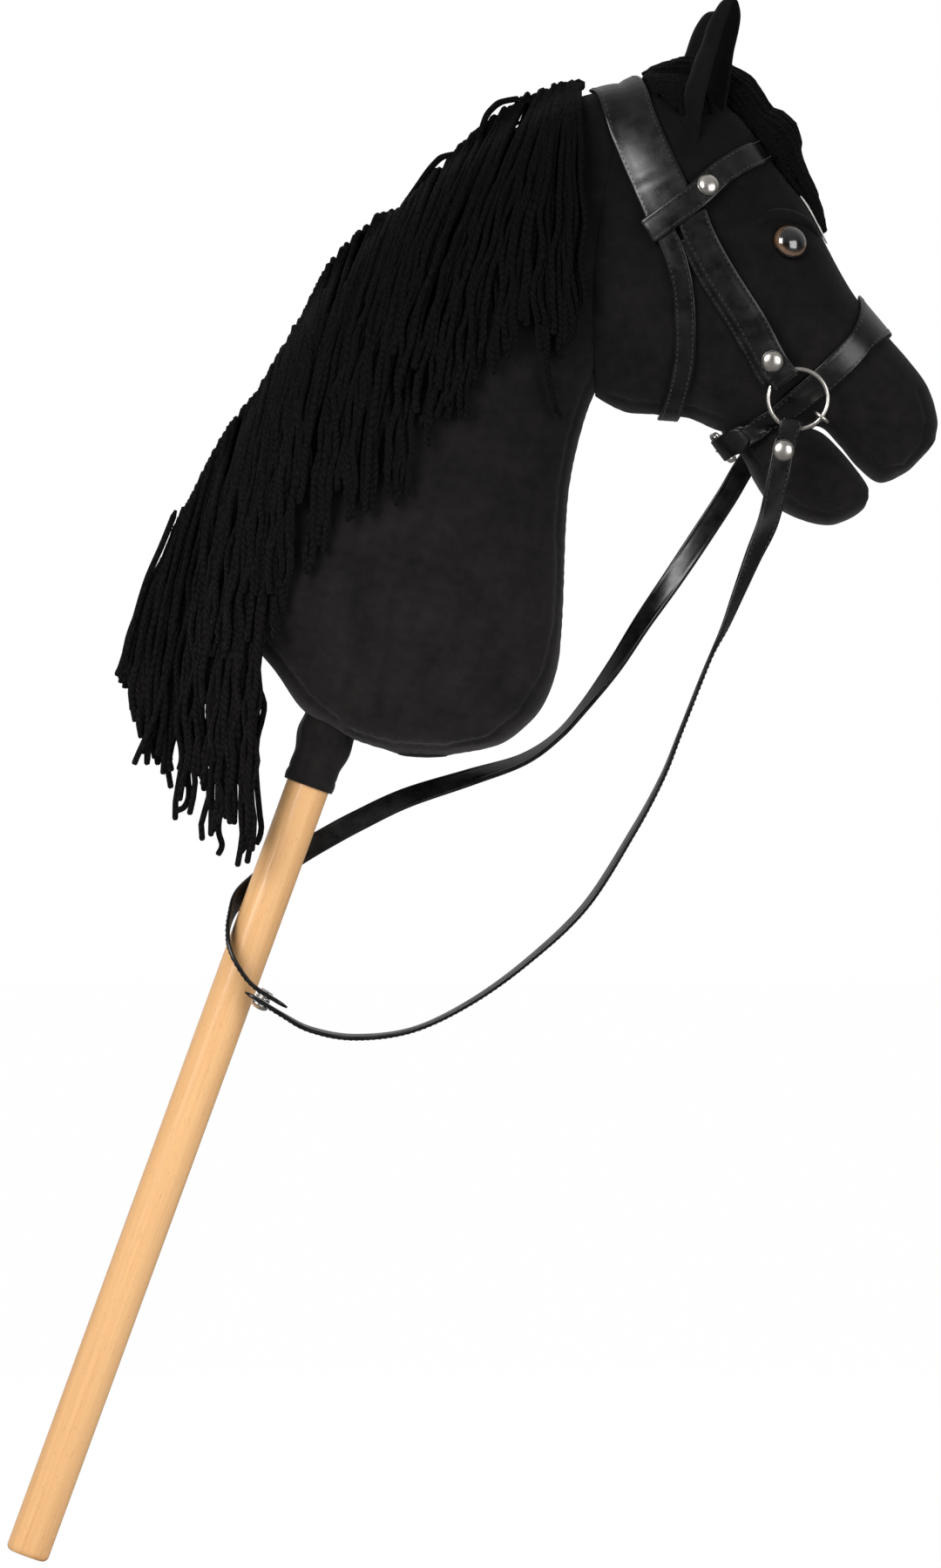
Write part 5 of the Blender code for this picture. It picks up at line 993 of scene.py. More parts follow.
lining_run = lining_bed, lining_along, lining_height, LINING_T, 0.16, 1 * MM, 1 * MM
for name, side in SIDES.items():
    strap(f"{name}_cheek", f"{name}_cheek_strap", *cheek_run, flip=-side)
    strap(f"{name}_lining", f"{name}_cheek_lining", *lining_run, flip=-side)
    add_stud(f"{name}_cheek", cheek, CHEEK_STUD_AT, cheek_along, cheek_height + STRAP_T / 2, flip=-side)


# Browband: a thinner strap across the forehead. Each end folds round the crown strap and is closed by
# a rivet.

BROW_SIDE = [(345, 750), (357, 758), (372, 769), (385, 779), (391, 785), (398, 792), (409, 799), (417, 803)]
brow_bed = skin_bed(over_middle([*on_skin(BROW_SIDE), (424, 0, 807)]), BROWBAND_WIDTH, 4 * MM)
crown_edges = crown_bed.points[0]
fold = brow_bed.nearest_along(crown_edges[np.argmin(crown_edges[:, 0])], 0, 0.4) - 1.5 * MM
brow_stud = brow_bed.nearest_along(seen_on(390.5 * MM, 783.5 * MM)[0], 0, 0.45)
low_leaf, high_leaf = GAP + BROWBAND_T / 2, UNDER_BAND + STRAP_T / 2 + GAP + BROWBAND_T / 2
stacked, tail = low_leaf + BROWBAND_T + GAP, brow_stud + 7.5 * MM
fold_along, fold_height = turn_back(fold, (low_leaf + high_leaf) / 2, (high_leaf - low_leaf) / 2, 11)
under, over = run(tail, fold)[:-1], run(fold, brow_bed.end / 2)
over_height = np.interp(over, [brow_stud - 8 * MM, brow_stud + 6 * MM], [high_leaf, stacked])
over_height += (low_leaf - stacked) * smoothstep(tail, tail + 10 * MM, over)
along = np.concatenate([under, fold_along, over[1:]])
height = np.concatenate([low_leaf + 0 * under, fold_height, soften(over_height, 2)[1:]])
along, height = np.append(along, brow_bed.end - along[-2::-1]), np.append(height, height[-2::-1])
before_fold = tail - fold + 5 * MM
strap("browband", "browband", brow_bed, along, height, BROWBAND_T, 0.24, before_fold, before_fold)
for side_name, side in SIDES.items():
    add_stud(f"{side_name}_brow", brow_bed, brow_stud, over, over_height + BROWBAND_T / 2, flip=-side)


# Noseband: widest over the nose, it runs inside the rings to a small buckle under the chin. One end
# folds round the buckle's heel bar; the other goes through as a tongue, held by a hinged prong.

NOSE_T = 1.8 * MM
NOSE_LAY = GAP + 2 * PILE + NOSE_T / 2
HEEL_H, FRONT_H = 3.9 * MM, 6.2 * MM
CHAPE_TAIL, INTO_BUCKLE, TONGUE = 17 * MM, 14 * MM, 19 * MM
BUCKLE_WIDTH, BUCKLE_LENGTH, BUCKLE_WIRE, PRONG_WIRE = 20.5 * MM, 13 * MM, 2.2 * MM, 1.6 * MM
CORNER_R = 2.2 * MM
NOSE_SIDE = [*on_skin([(430, 653.5), (443, 664), (456.5, 674.5), (468.5, 685.5)]), (486.5, 0, 712)]
CHIN = [(402, 0, 639), (404, -12, 638.5), (408.5, -21, 640.5), (418, -27, 646.5)]
NOSE_ROUTE = [(403.5, 10, 638.5), *over_middle([*CHIN, *NOSE_SIDE]), *CHIN[1:], NOSE_SIDE[0]]


def noseband_width(share):
    """Widest over the bridge and narrowest at the buckle."""
    off_bridge = abs(share - 0.46)
    return (30 - 14.5 * smoothstep(0, 0.13, off_bridge) - 1.5 * smoothstep(0.26, 0.36, off_bridge)) * MM


def flattened(bed, spots):
    """The same bed made straight across its width near some distances along it."""
    for spot in spots:
        share = 1 - smoothstep(15 * MM, 27 * MM, abs(bed.along - spot))[:, None, None]
        out = unit(bed.facing.mean(axis=1))[:, None]
        ends = bed.points[:, -1:] - bed.points[:, :1]
        level = bed.points.mean(axis=1, keepdims=True) + ends * (ACROSS / 2)[:, None]
        highest = ((bed.points - level) * out).sum(axis=2).max(axis=1)
        level = level + out * np.maximum(highest, 0)[:, None, None]
        bed.points, bed.facing = blend(bed.points, level, share), unit(blend(bed.facing, out, share))
    return Bed(bed.points, bed.facing)


nose_bed = skin_bed(NOSE_ROUTE, noseband_width, 4 * MM)
HEEL_AT = np.array([404, -13, 638.5]) * MM
heel, heel_again = nose_bed.nearest_along(HEEL_AT, 0.0, 0.25), nose_bed.nearest_along(HEEL_AT, 0.7, 1.0)
nose_bed = flattened(nose_bed, [heel, heel_again])
chape_radius, bar_step = BUCKLE_WIRE / 2 + GAP + NOSE_T / 2, BUCKLE_LENGTH - BUCKLE_WIRE
chape_low, chape_high = HEEL_H - chape_radius, HEEL_H + chape_radius
fold_along, fold_height = turn_back(heel, HEEL_H, chape_radius)
under = run(heel + CHAPE_TAIL, heel)[:-1]
under_height = NOSE_LAY + (chape_low - NOSE_LAY) * (1 - smoothstep(heel, heel + 8 * MM, under))
into = heel_again - bar_step - INTO_BUCKLE
over, flap = run(heel, into)[1:-1], NOSE_LAY + NOSE_T + GAP
over_height = flap + (chape_high - flap) * (1 - smoothstep(heel + 2 * MM, heel + 14 * MM, over))
over_height += (NOSE_LAY - flap) * smoothstep(heel + CHAPE_TAIL, heel + CHAPE_TAIL + 10 * MM, over)
front_pass = FRONT_H - BUCKLE_WIRE / 2 - GAP - NOSE_T / 2 - 0.75 * MM
step_up = run(into, heel_again - INTO_BUCKLE)
step_spots = [into, into + 7 * MM, heel_again - 11 * MM]
step_height = np.interp(step_up, step_spots, [NOSE_LAY, NOSE_LAY + 0.4 * MM, front_pass])
tongue, above = run(-INTO_BUCKLE, TONGUE), NOSE_T + GAP + 0.25 * MM
tongue_levels = [front_pass, front_pass, chape_high + above, chape_high + above, flap + above]
tongue_height = soften(np.interp(tongue, np.array([-14, -8.3, -2.4, 2, 14]) * MM, tongue_levels), 1)
along = np.concatenate([under, fold_along, over, step_up, heel_again + tongue[1:]])
height = np.concatenate([under_height, fold_height, over_height, step_height, tongue_height[1:]])
narrow = np.interp(along, heel_again + np.array([14, 17, 19]) * MM, [1, 0.8, 0.35])
clear_of_buckle = CHAPE_TAIL + 26 * MM, 22 * MM
strap("noseband", "noseband", nose_bed, along, height, NOSE_T, 0.2, *clear_of_buckle, narrow=narrow)

heel_point, front_point = nose_bed.middle(np.array([heel, heel - bar_step]), np.array([HEEL_H, FRONT_H]))
lengthwise = unit(front_point - heel_point)
between_bars = heel - bar_step / 2
off_chin = nose_bed.middle(between_bars, 5 * MM)[0] - nose_bed.middle(between_bars, 0.0)[0]
off_chin = unit(off_chin - lengthwise * (off_chin @ lengthwise))
crosswise = np.cross(lengthwise, off_chin)
half, frame_path = (BUCKLE_WIDTH - BUCKLE_WIRE) / 2, []
for x, y, start in ((bar_step, half, 90), (bar_step, -half, 0), (0, -half, -90), (0, half, 180)):
    bend_at = np.array([x - CORNER_R * (1 if x else -1), y - CORNER_R * (1 if y > 0 else -1)])
    turn = np.radians(np.linspace(start, start - 90, 9))
    bend = bend_at + CORNER_R * np.stack([np.cos(turn), np.sin(turn)], axis=1)
    frame_path.append(heel_point + bend[:, :1] * lengthwise + bend[:, 1:] * crosswise)
frame_path = np.concatenate(frame_path)
wire("buckle_frame_wire", frame_path, BUCKLE_WIRE / 2, off_chin, "horse", "buckle_frame", True)
prong_r = BUCKLE_WIRE / 2 + 0.3 * MM + PRONG_WIRE / 2
hoop("prong_loop", prong_r, PRONG_WIRE, heel_point, crosswise, "prong", "buckle_prong", 40, 12)
reach = np.linspace(0.2 * MM, bar_step + 1.6 * MM, 14)[:, None]
shaft = heel_point + off_chin * prong_r + lengthwise * reach
wire("prong_shaft", shaft, PRONG_WIRE / 2, off_chin, "prong")


# Reins: two long straps, each round its ring and closed by a rivet. They hang free, the far one goes
# round behind the stick, and a press-stud joins their ends.

REIN_T, REIN_WIDTH = 2.4 * MM, 12.5 * MM
REIN_PINCH = REIN_T / 2 + GAP / 2
REIN_STUD_AT = RING_MARGIN + 13.7 * MM
REIN_TAIL, REIN_CLOSED = REIN_STUD_AT + 8 * MM, REIN_STUD_AT - 6.5 * MM
# Each row of a rein: x, y and z in millimetres, and how far its face has turned from sideways to below
NEAR_REIN = (
    (433.5, -49, 633.5, 0), (429.5, -49, 613, 6), (425, -47.5, 593, 16), (416.5, -45, 573, 44),
    (408.5, -43, 553, 61), (400.5, -41, 533, 77), (391, -39, 513, 90), (375.5, -36, 474, 92),
    (364.5, -34, 446.5, 95), (347.5, -32, 415, 99), (320.5, -29.5, 373, 101), (287.5, -26.5, 341.5, 98),
    (254, -24, 317.5, 96), (221, -22, 302, 95), (188, -20.5, 298, 97), (163, -19.5, 302.5, 96),
    (147, -19, 310.9, 92), (135, -19, 318.3, 90), (126, -19, 323.7, 90),
)
FAR_REIN = (
    (414, 49, 627.5, 0), (403, 48.5, 609, 0), (390, 48.5, 589, 4), (372, 49.5, 562, 20), (354, 51, 536, 38),
    (338, 52, 511, 50), (320, 52, 487, 68), (305, 51, 470.5, 72), (285, 48, 457, 62), (255, 42, 447, 44),
    (218, 33, 435, 26), (190.5, 27, 422, 14),
)
# Round the stick each row has the direction of the face instead
ROUND_STICK = (
    (172, 23, 412, 0.1, 1, 0), (156, 21.5, 402.5, 0.1, 1, 0), (143, 20.3, 394, -0.2, 0.97, 0),
    (131.5, 14.5, 385.5, -0.62, 0.78, 0), (121, 5, 376, -0.93, 0.3, 0), (116.8, -4, 365.5, -0.99, -0.05, 0),
    (116, -12.8, 355, -0.98, -0.05, -0.1), (118.8, -18.2, 344.5, -0.93, 0, -0.36),
    (126, -19.6, 332.5, -0.72, 0, -0.7), (132, -19.3, 326.3, -0.6, 0, -0.8),
    (137.6, -19, 322.5, -0.522, 0, -0.853), (143.2, -19, 319.1, -0.522, 0, -0.853),
    (150, -19, 314.9, -0.522, 0, -0.853),
)


def twisted(rows, side):
    """Adds the facing direction to rows of x, y, z and turn: from sideways towards below the run."""
    rows = np.array(rows, float)
    tangent = unit(np.gradient(rows[:, :3], axis=0))
    sideways = unit(np.array([0, side, 0]) - tangent * (tangent[:, 1] * side)[:, None])
    below = unit(np.stack([-tangent[:, 2], 0 * tangent[:, 0], tangent[:, 0]], axis=1))
    turn = np.radians(rows[:, 3])[:, None]
    return np.hstack([rows[:, :3], sideways * np.cos(turn) + below * np.sin(turn)])


def rein_bed(angle, side, rows):
    """A free strap's own bed: a line in the air, with the way across it square to its facing."""
    start = [(x, side * RING_Y, z, 0, side, 0) for x, z in ring_line(angle, 7 * MM)]
    table = evenly(Smooth(np.vstack([start, rows])).sample(600), 2.0)
    line, facing = table[:, :3] * MM, soften(table[:, 3:], 2)
    tangent = unit(np.gradient(line, axis=0))
    facing = unit(facing - tangent * (facing * tangent).sum(axis=1)[:, None])
    across = unit(np.cross(tangent, facing))[:, None]
    points = line[:, None] + across * (ACROSS / 2 * REIN_WIDTH)[None, :, None]
    return Bed(points, np.repeat(facing[:, None], len(ACROSS), axis=1))


def rein_rise(spots):
    """Behind the rivet's tail the strap comes down to the middle of its run."""
    return -REIN_PINCH * smoothstep(REIN_TAIL + 3 * MM, REIN_TAIL + 30 * MM, spots)


REIN_RUNS = (
    ("near", NEAR, -105.7, twisted(NEAR_REIN, NEAR), 0.5256),
    ("far", FAR, -128.3, np.vstack([twisted(FAR_REIN, FAR), ROUND_STICK]), 0.5191),
)
reins = {}
for side_name, side, degrees, rows, real_length in REIN_RUNS:
    name, bed = f"{side_name}_rein", rein_bed(math.radians(degrees), side, rows)
    along, height, over, _ = round_ring(
        REIN_WIDTH, REIN_T, REIN_PINCH, REIN_TAIL, REIN_CLOSED, bed.end, rein_rise
    )
    narrow = np.interp(along, bed.end - np.array([6, 3, 0]) * MM, [1, 0.86, 0.45])
    clear = REIN_TAIL - over[0] + 6 * MM, 8 * MM
    piece, sewing = strap(name, name, bed, along, height, REIN_T, 0.28, *clear, "reins", narrow)
    rivet = add_stud(name, bed, REIN_STUD_AT, along, height + REIN_T / 2, "reins")
    spots = run(over[0], bed.end, 8 * MM)
    reins[side_name] = (piece, bed.middle(spots, 0 * spots), real_length, [sewing, rivet])


# Press-stud: a domed cap and its socket on the near rein, and the ball and post on the far rein, closed.
# Each is turned from pairs of radius and height in millimetres, from the middle of the near rein.

SNAP_AT, SNAP_AXIS = np.array([135.0, -19.0, 318.3]) * MM, unit([0.522, 0, 0.853])
rein_face, tip = REIN_T / MM / 2, AXLE / MM
socket_at, cap_seat = rein_face + 0.3, -rein_face - 0.3
post_foot = socket_at + 1.5 + 0.8
post_flange, cap_foot = post_foot + 2 * rein_face + 0.3, socket_at - 0.3
cap_dome = [(r, cap_seat - h) for r, h in quarter(5.5, 0.6, tip, 3, 12)][::-1]
ball = [(tip, 0), (1.3, 0.1), (1.9, 0.6), (1.8, 1.5), (4.2, 1.5), (4.3, 1.7), (4.2, 2.0), (tip, 2.0)]
socket = [(2.25, 0), (4.3, 0), (4.5, 0.2), (4.5, 1.0), (4.3, 1.2), (2.6, 1.2), (2.25, 0.9)]
cap = [*cap_dome, (5.5, cap_seat - 0.2), (5.3, cap_seat), (1.5, cap_seat), (1.5, cap_foot), (tip, cap_foot)]
post = [(tip, post_foot), (1.4, post_foot), (1.4, post_flange), (3.9, post_flange),
        (4.0, post_flange + 0.3), (3.5, post_flange + 0.7), (tip, post_flange + 0.8)]
for side_name, name, node, profile, is_ring in (
    ("near", "snap_cap_dome", "snap_cap", cap, False),
    ("near", "snap_socket_ring", "snap_socket", [(r, socket_at + h) for r, h in socket], True),
    ("far", "snap_ball", "snap_stud", [(r, socket_at + h) for r, h in ball], False),
    ("far", "snap_post_head", "snap_post", post, False),
):
    rings = turned(np.array(profile) * MM, SNAP_AT, SNAP_AXIS)
    rings = np.swapaxes(rings, 0, 1) if is_ring else rings
    reins[side_name][-1].append(tubes(name, rings, nickel, node, "reins", 50, is_ring))


# Star: a leaf of white plush sewn on the forehead, mostly under the forelock.

STAR_WIDTH, STAR_LENGTH, STAR_T = 27 * MM, 49.5 * MM, 0.8 * MM
STAR_ROUTE = [(x, 0, z) for x, z in ((432.5, 794), (442, 780), (452, 764), (459, 753))]
white_plush = plush_finish("white_plush", (0.62, 0.61, 0.59), (0.86, 0.855, 0.83), 0.15, (1, 1, 1, 1))
star_bed = skin_bed(STAR_ROUTE, leaf_width(STAR_WIDTH, 0.7), 2.5 * MM)
along = run(0, star_bed.end, 1.2 * MM)
star_rings = strap_rings(star_bed, along, GAP + STAR_T / 2 + 0 * along, STAR_T)
star = tubes("star_patch", star_rings, white_plush, "forehead_star")


# Mane: lengths of thick black two-ply yarn sewn to a tape along the crest. They hang down both sides in
# layers and end unevenly.

YARN_R, YARN_PITCH = 2.0 * MM, 8.5 * MM
yarn = Finish("black_yarn", Roughness=0.85, Specular_IOR_Level=0.08, Sheen_Roughness=0.4,
              Sheen_Tint=(0.6, 0.57, 0.56, 1))
own_turn = yarn.place.stretched(1, 1, 0.05).noise(190, 1) * 3
lay = (yarn.weave.part(0) + yarn.weave.part(1) / YARN_PITCH + own_turn) * (2 * math.pi)
plies = lay.maths("ABSOLUTE", lay.maths("SINE", lay))
fibres, fuzz = yarn.place.noise(2300, 2), yarn.place.noise(700, 2)
# Darker colour in the grooves between the two plies is painted shade. The fuzz noise is the yarn's own uneven
# tone.
ply_shade_and_fuzz, painted_light_factor = plies.within(0.0, 0.9) * 0.55 + fuzz * 0.5, yarn.painted_light_towards_foot(0.8)
# Painted light: the height factor scales colour and sheen, darker high on the mane and paler lower down.
yarn.tint(ply_shade_and_fuzz.between((0.0002, 0.0002, 0.0002), (0.0064, 0.0056, 0.0054)), painted_light_factor)
yarn.feed("Sheen Weight", painted_light_factor * 0.045)
yarn.relief((plies, 0.7, 0.0007), (fuzz, 0.6, 0.0005), (fibres, 0.5, 0.0003))

TAPE_WIDTH, TAPE_T = 9 * MM, 1.2 * MM
CREST = ((319, 841), (302.5, 825), (270, 803), (240, 775.5), (212.5, 750.5), (187.5, 720.5), (165, 688),
         (142.5, 648), (134, 629))
tape_bed = skin_bed([(x, 0, z) for x, z in CREST], TAPE_WIDTH, 6 * MM)
along = run(6 * MM, tape_bed.end - 3 * MM, 4 * MM)
tape_rings = strap_rings(tape_bed, along, GAP + PILE + TAPE_T / 2 + 0 * along, TAPE_T)
tubes("mane_tape_cloth", tape_rings, plush, "mane_tape")

REIN_CLEAR = 440 * MM   # the far strands end above the path of the swinging reins
STRAND_STEPS = 28


def add_yarn(name, paths, across, node):
    """Round strands swept along paths, one row each. Their cut ends are blunt."""
    way = unit(np.gradient(paths, axis=1))
    first = unit(np.cross(way, across))
    size = np.ones(paths.shape[1])
    size[0], size[-1] = 0.5, 0.62
    ring = round_about(first[:, :, None], np.cross(way, first)[:, :, None], 6)
    tubes(name, paths[:, :, None] + (YARN_R * size)[None, :, None, None] * ring, yarn, node)


# Where the strands leave the outline of the mane and where they end, as x and z in millimetres
STRANDS = Smooth((
    (320.5, 849, 322, 713), (303, 845, 306, 688), (286, 839, 285, 700.5), (259.5, 820.5, 269, 683),
    (240, 801.5, 249, 653), (215.5, 776.5, 218, 608), (198, 768.5, 201, 605.5), (175, 744, 182.5, 593),
    (160, 715.5, 161, 570.5), (146.5, 692.5, 145, 543), (133, 669.5, 127.5, 413), (119.5, 654, 119, 408),
    (110, 638.5, 108, 411), (98.5, 616, 92, 431), (87, 594.5, 76, 449), (80.5, 577, 66, 473),
    (76, 568, 58, 503),
))
# Each lock: its first and last spot in that table, and its number of strands
LOCKS = ((0.2, 3.96, 58), (4.0, 6.96, 52), (7.0, 9.96, 46), (10.0, 12.96, 64), (13.0, 16.0, 50))
OVER_TAPE = GAP + PILE + TAPE_T + GAP + 2 * PILE
MAP_STEP = 0.003
grown = [search_tree(stuffed(name, 76, grow=OVER_TAPE)) for name in ("neck", "head")]
map_x, map_z = np.arange(0.040, 0.345, MAP_STEP), np.arange(0.390, 0.870, MAP_STEP)
half_width = np.zeros((len(map_x), len(map_z)))
for i, x in enumerate(map_x):
    for j, z in enumerate(map_z):
        hits = [seen_on(x, z, NEAR, tree)[0] for tree in grown]
        half_width[i, j] = max([-hit.y for hit in hits if hit is not None], default=0.0)


def out_from_middle(flat):
    """Half the width of neck and head at points of the side view, from the map by linear steps."""
    i = np.clip((flat[..., 0] - map_x[0]) / MAP_STEP, 0, len(map_x) - 1.001)
    j = np.clip((flat[..., 1] - map_z[0]) / MAP_STEP, 0, len(map_z) - 1.001)
    a, b, f, g = i.astype(int), j.astype(int), i % 1, j % 1
    low, high = (blend(half_width[k, b], half_width[k, b + 1], g) for k in (a, a + 1))
    return blend(low, high, f)


def layers_of(count, chance, share):
    """For each strand its loose bunch and its place in the layers."""
    return np.cumsum(chance.uniform(0, 1, count) < share), np.arange(count) * 0.618 % 1


def hanging_strands(first, last, count, side, chance):
    """Strands of one lock. Each rises from the tape, turns over and hangs down to its place in the
    table, outside whatever it meets. They lie in layers and in loose bunches of a few, which share
    their waves and part from their neighbours towards uneven ends."""
    bunch, layer = layers_of(count, chance, 0.28)
    bunches, layer = bunch[-1] + 1, layer**1.4
    spot = first + (np.arange(count) + chance.uniform(0, 1, count)) / count * (last - first)
    inner = smoothstep(0, 4, spot) * smoothstep(0, 3, 16 - spot)
    sewn_at = np.clip(spot - 2.6 * inner + chance.normal(0, 0.45, count) * inner, 0, 16)
    start = STRANDS.at(sewn_at)[:, :2] * MM
    end = STRANDS.at(np.where((spot > 9) & (spot < 10), 9 + (spot - 9) * 0.15, spot))[:, 2:] * MM

    def of_bunch(spread):
        return chance.normal(0, spread, bunches)[bunch]

    end[:, 0] += (of_bunch(2.2) + chance.normal(0, 1.6, count)) * MM
    drop = np.linalg.norm(end - start, axis=1)
    begin = (chance.uniform(0, 1.5, count) + 3 * (1 - layer) + of_bunch(0.8)) * MM / drop
    stop = 1 + of_bunch(0.045) + chance.normal(-0.03, 0.03, count)
    free = spot > 10
    end[:, 0] += np.where(free, of_bunch(2.5) * MM, 0)
    stop -= np.where(free, chance.exponential(0.045, count), 0)
    if side > 0:
        end[:, 1] = np.maximum(end[:, 1], REIN_CLEAR)

    # A long drop is made of an upper and a lower layer, so that no strand is longer than real yarn
    long = drop > 200 * MM
    lower = long & (np.arange(count) % 2 == 0)
    begin = np.where(lower, 1 - (chance.uniform(150, 185, count) * MM) / drop, begin)
    stop = np.where(long & ~lower, (chance.uniform(140, 190, count) * MM) / drop, stop)
    layer = np.where(lower, layer * 0.55, np.where(long, 0.4 + layer * 0.6, layer))
    stop = np.minimum(stop, 1.015)
    t = np.append(np.linspace(0, 1, STRAND_STEPS - 1) ** 1.35 * 0.994, 1)
    rise = 7 * MM
    run_down = (((stop - begin) * drop + rise)[:, None]) * t
    share = begin[:, None] + np.maximum(run_down - rise, 0) / drop[:, None]
    x = start[:, :1] + (end - start)[:, :1] * (1 - (1 - np.clip(share, 0, 1)) ** 1.8)
    z = start[:, 1:] + (end - start)[:, 1:] * share - 1.2 * MM
    z -= 3.5 * MM * np.clip(1 - run_down / rise, 0, 1) ** 2
    out = np.maximum(out_from_middle(np.stack([x, z], axis=-1)), 0.17 * MM)
    for k in range(1, STRAND_STEPS):
        out[:, k] = np.maximum(out[:, k], out[:, k - 1] - 0.10 * (run_down[:, k] - run_down[:, k - 1]))
    thick = np.interp(share, [0, 0.35, 0.7, 1], np.array([5, 12.5, 10.5, 6]) * MM) - 2 * YARN_R
    y = soften(out.T, 2).T + YARN_R + layer[:, None] * thick + np.abs(of_bunch(0.9))[:, None] * MM
    y = y * np.sin(np.clip(run_down / (13 * MM), 0, 1) * math.pi / 2)
    loose = smoothstep(20 * MM, 110 * MM, run_down)
    bunch_wave = [0.8 + 0.35 * abs(of_bunch(1))]
    bunch_wave += [38 + 26 * chance.uniform(0, 1, bunches)[bunch], of_bunch(3)]
    own_wave = [chance.uniform(low, high, count) for low, high in ((0.5, 1.5), (26, 60), (0, 6.3))]
    for amount, long_wave, phase in (bunch_wave, own_wave):
        turn = run_down / (long_wave[:, None] * MM) * 2 * math.pi + phase[:, None]
        swing = amount[:, None] * MM * loose
        x, y = x + swing * np.sin(turn), y + 0.45 * swing * np.cos(turn)
    return np.stack([x, side * y, z], axis=-1)


# A few strands stray from the rest, as x, y and z in millimetres down their length. Over the neck they
# lie on it.
STRAYS = {
    "near_lock_1": (
        ((292, -3, 834), (284, -3, 836), (278, -3, 835.5), (272, -4, 834), (268, -5, 831), (264, -6, 826),
         (261, -8, 817), (258, -12, 806)),
        ((295, 0, 735), (296, 0, 715), (297, 0, 700), (299, 0, 680), (302, 0, 664), (307, 0, 651)),
    ),
    "near_lock_2": (
        ((250, -3, 805), (244, -3, 804), (238.5, -4, 802.5), (234, -5, 798.5), (229.5, -6, 793),
         (224, -7, 785), (215, -9, 772)),
    ),
    "near_lock_4": (
        ((119, -20, 570), (121, -16, 545), (125.5, -10, 519), (131, -8, 504), (136.5, -7, 490),
         (135.5, -6, 480), (132.5, -6, 468), (132, -6, 450), (134, -6, 427), (135, -6, 417),
         (132.5, -6, 408)),
        ((118, -18, 540), (123, -12, 515), (127.5, -9, 495), (129.5, -8, 482), (127.5, -7, 470),
         (127, -7, 450), (128.5, -6, 430), (127, -6, 411), (122, -6, 402)),
        ((112, -12, 470), (113, -10, 440), (110.5, -9, 418), (112.5, -8, 408), (110, -8, 402)),
    ),
    "near_lock_5": (
        ((86, -5, 600), (78, -8, 580), (69, -9, 559), (61, -9, 532), (55, -9, 512), (52, -8, 505)),
        ((88, -8, 540), (82, -9, 510), (74, -9, 482), (69, -9, 470), (64, -8, 459), (62, -8, 454)),
        ((101, -8, 500), (96, -9, 470), (93, -9, 452), (93.5, -9, 437), (91, -8, 430), (86, -8, 427.5)),
    ),
    "far_lock_4": (
        ((112, 14, 520), (117, 12, 490), (124, 10, 470), (125, 9, 455), (128, 8, 444), (125, 8, 438)),
    ),
}


def stray_strand(rows, side):
    """One strand through the rows, kept outside the neck."""
    path = Smooth(rows).sample(STRAND_STEPS) * MM
    path[:, 1] = side * np.maximum(np.abs(path[:, 1]), out_from_middle(path[:, ::2]) + 2 * YARN_R)
    return path[None]


chance = np.random.default_rng(20)
for side_name, side in SIDES.items():
    for index, (first, last, count) in enumerate(LOCKS, 1):
        lock = f"{side_name}_lock_{index}"
        paths = hanging_strands(first, last, count, side, chance)
        strays = [stray_strand(rows, side) for rows in STRAYS.get(lock, ())]
        add_yarn(f"{lock}_yarn", np.concatenate([paths, *strays]), (1.0, 0, 0), lock)


# Poll and forelock: the same yarn, laid forward between the ears and down over the browband.

FORELOCK_SIDE = ((353.5, 848), (366, 849), (380, 846), (392, 841), (402, 834.5), (412, 824), (425, 806),
                 (439, 785), (456, 759), (459, 755))
YARN_WIDTHS = ([0, 0.35, 0.65, 1], np.array([22, 27, 38, 27]) * MM)
YARN_HEIGHTS = ([0, 0.04, 0.08, 0.15, 0.25, 0.36, 0.46, 0.56, 0.7, 0.85, 1],
                np.array([2, 5.5, 8.5, 14, 18.5, 21, 16, 20.5, 14, 8, 3]) * MM)
tuft_bed = skin_bed([(x, 0, z) for x, z in FORELOCK_SIDE], lambda t: np.interp(t, *YARN_WIDTHS), 6 * MM,
                    np.linspace(-1, 1, 9))
brow_crossing = tuft_bed.nearest_along(np.array([423, 0, 808.5]) * MM)
over_band = GAP + BROWBAND_T + GAP


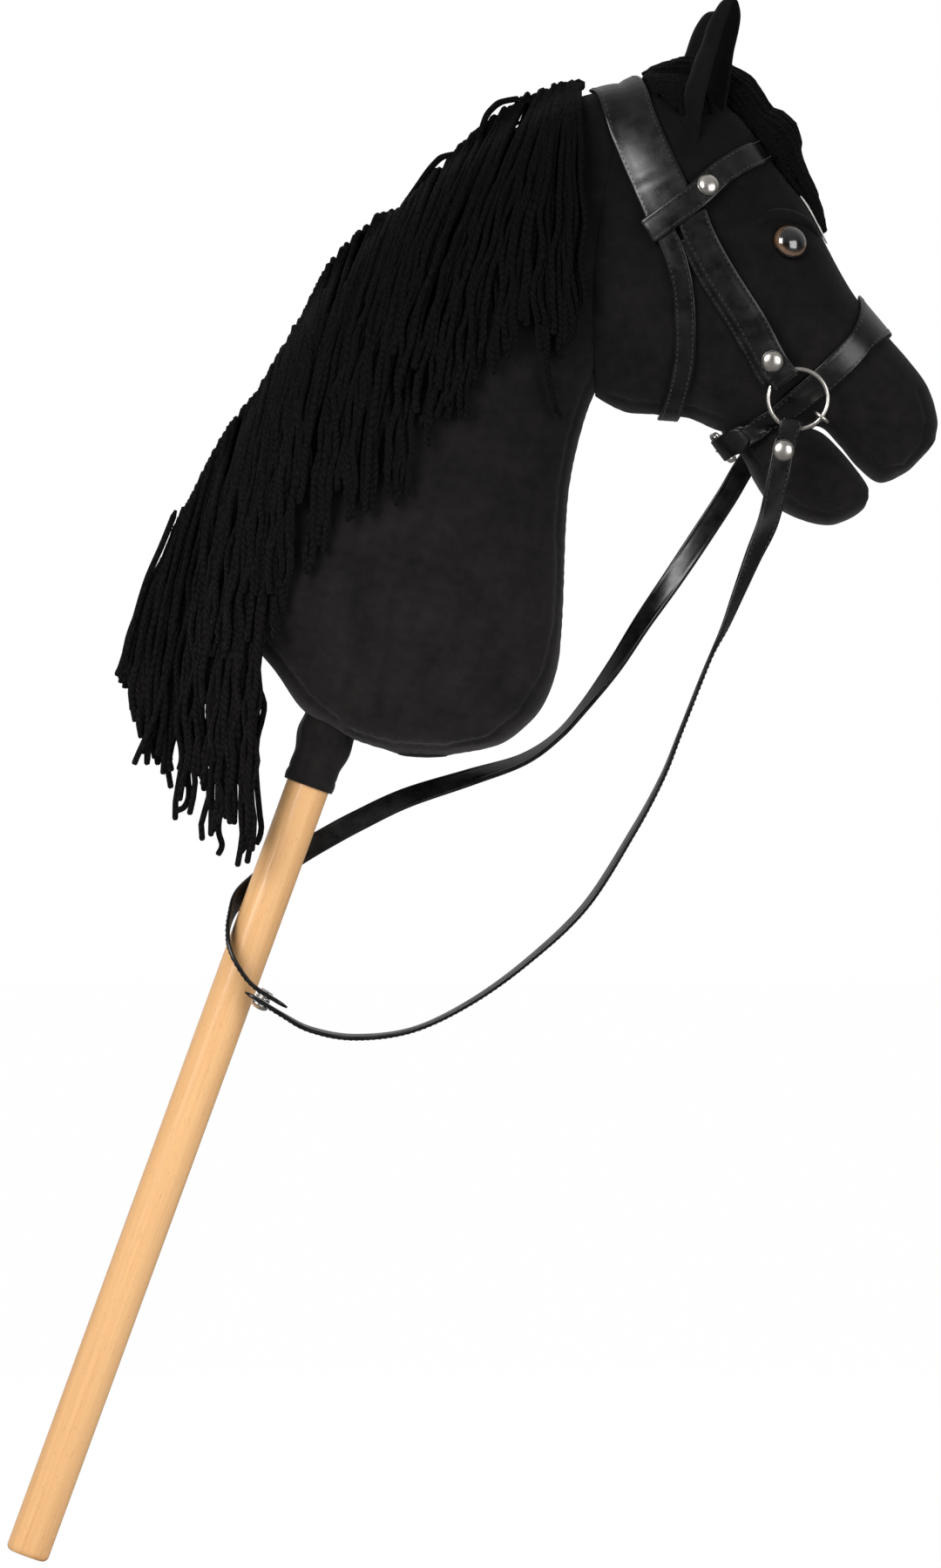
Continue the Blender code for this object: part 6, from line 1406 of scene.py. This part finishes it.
def combed_strands(count, from_first, from_last, to_first, to_last, chance):
    """Strands laid along the tuft in layers whose height follows it, in bunches that part at the ends.
    The lowest lie on the plush and over the browband."""
    bunch, layer = layers_of(count, chance, 0.3)
    layer = layer[:, None]
    t = np.append(np.linspace(0, 1, STRAND_STEPS - 1) * 0.994, 1)
    start = chance.uniform(from_first, from_last, (count, 1))
    down = start + (chance.uniform(to_first, to_last, (count, 1)) - start) * t
    lane = np.linspace(-0.93, 0.93, bunch[-1] + 1)
    chance.shuffle(lane)
    across = lane[bunch][:, None] * (1 - 0.45 * smoothstep(0.55, 0.95, down))
    across = across + chance.normal(0, 0.07, (count, 1))
    across = across + 0.06 * np.sin(t * 9 + bunch[:, None]) + 0.04 * np.sin(t * 17 + 6.3 * layer)
    across = np.clip(across, -0.97, 0.97)
    swell = np.interp(down, *YARN_HEIGHTS) * np.sqrt(np.clip(1 - across**2 * 0.9, 0, 1))
    lift = YARN_R * 0.9 + layer * np.maximum(swell - 1.6 * YARN_R, 0) + 0.7 * MM * np.sin(t * 11 + 9 * layer)
    on_band = 1 - smoothstep(9 * MM, 14 * MM, abs(down * tuft_bed.end - brow_crossing))
    height = GAP + over_band * on_band + lift * (1 - 0.35 * smoothstep(0.9, 1, t))
    return tuft_bed.spots(down * tuft_bed.end, height, across)


chance = np.random.default_rng(4)
add_yarn("poll_yarn", combed_strands(84, 0.0, 0.12, 0.42, 0.75, chance), (0, 1.0, 0), "poll_tuft")
add_yarn("forelock_yarn", combed_strands(130, 0.1, 0.42, 0.82, 0.975, chance), (0, 1.0, 0), "forelock")

# Short strands that lie over the poll to both sides of the ears
POLL_TOP, POLL_FOOT = (400 * MM, 852 * MM), 806 * MM
side_rows, t = [], np.linspace(0, 1, 18)
for side in SIDES.values():
    for x0, length in zip(chance.uniform(355, 386, 40) * MM, chance.uniform(0.3, 0.62, 40)):
        flat_x = x0 + (POLL_TOP[0] - x0) * (t * length) ** 1.2 * 0.8 + chance.normal(0, 1.2) * MM * t
        flat_z = POLL_TOP[1] - (POLL_TOP[1] - POLL_FOOT) * t * length
        hits = [(seen_on(x, min(z, 0.8455), side), (x, 0, z)) for x, z in zip(flat_x, flat_z)]
        spots = np.array([missed if hit[0] is None else hit[0] for hit, missed in hits], float)
        outs = np.array([(0, side, 0) if hit[1] is None else hit[1] for hit, _ in hits], float)
        spots[:, 1] *= smoothstep(-0.05, 0.3, t)
        lift = (YARN_R + GAP + 1.2 * MM * np.sin(math.pi * t) ** 0.5)[:, None]
        side_rows.append(soften(spots + outs * lift, 3))
add_yarn("poll_side_yarn", np.array(side_rows), (1.0, 0, 0.3), "poll_tuft")


bpy.context.view_layer.update()
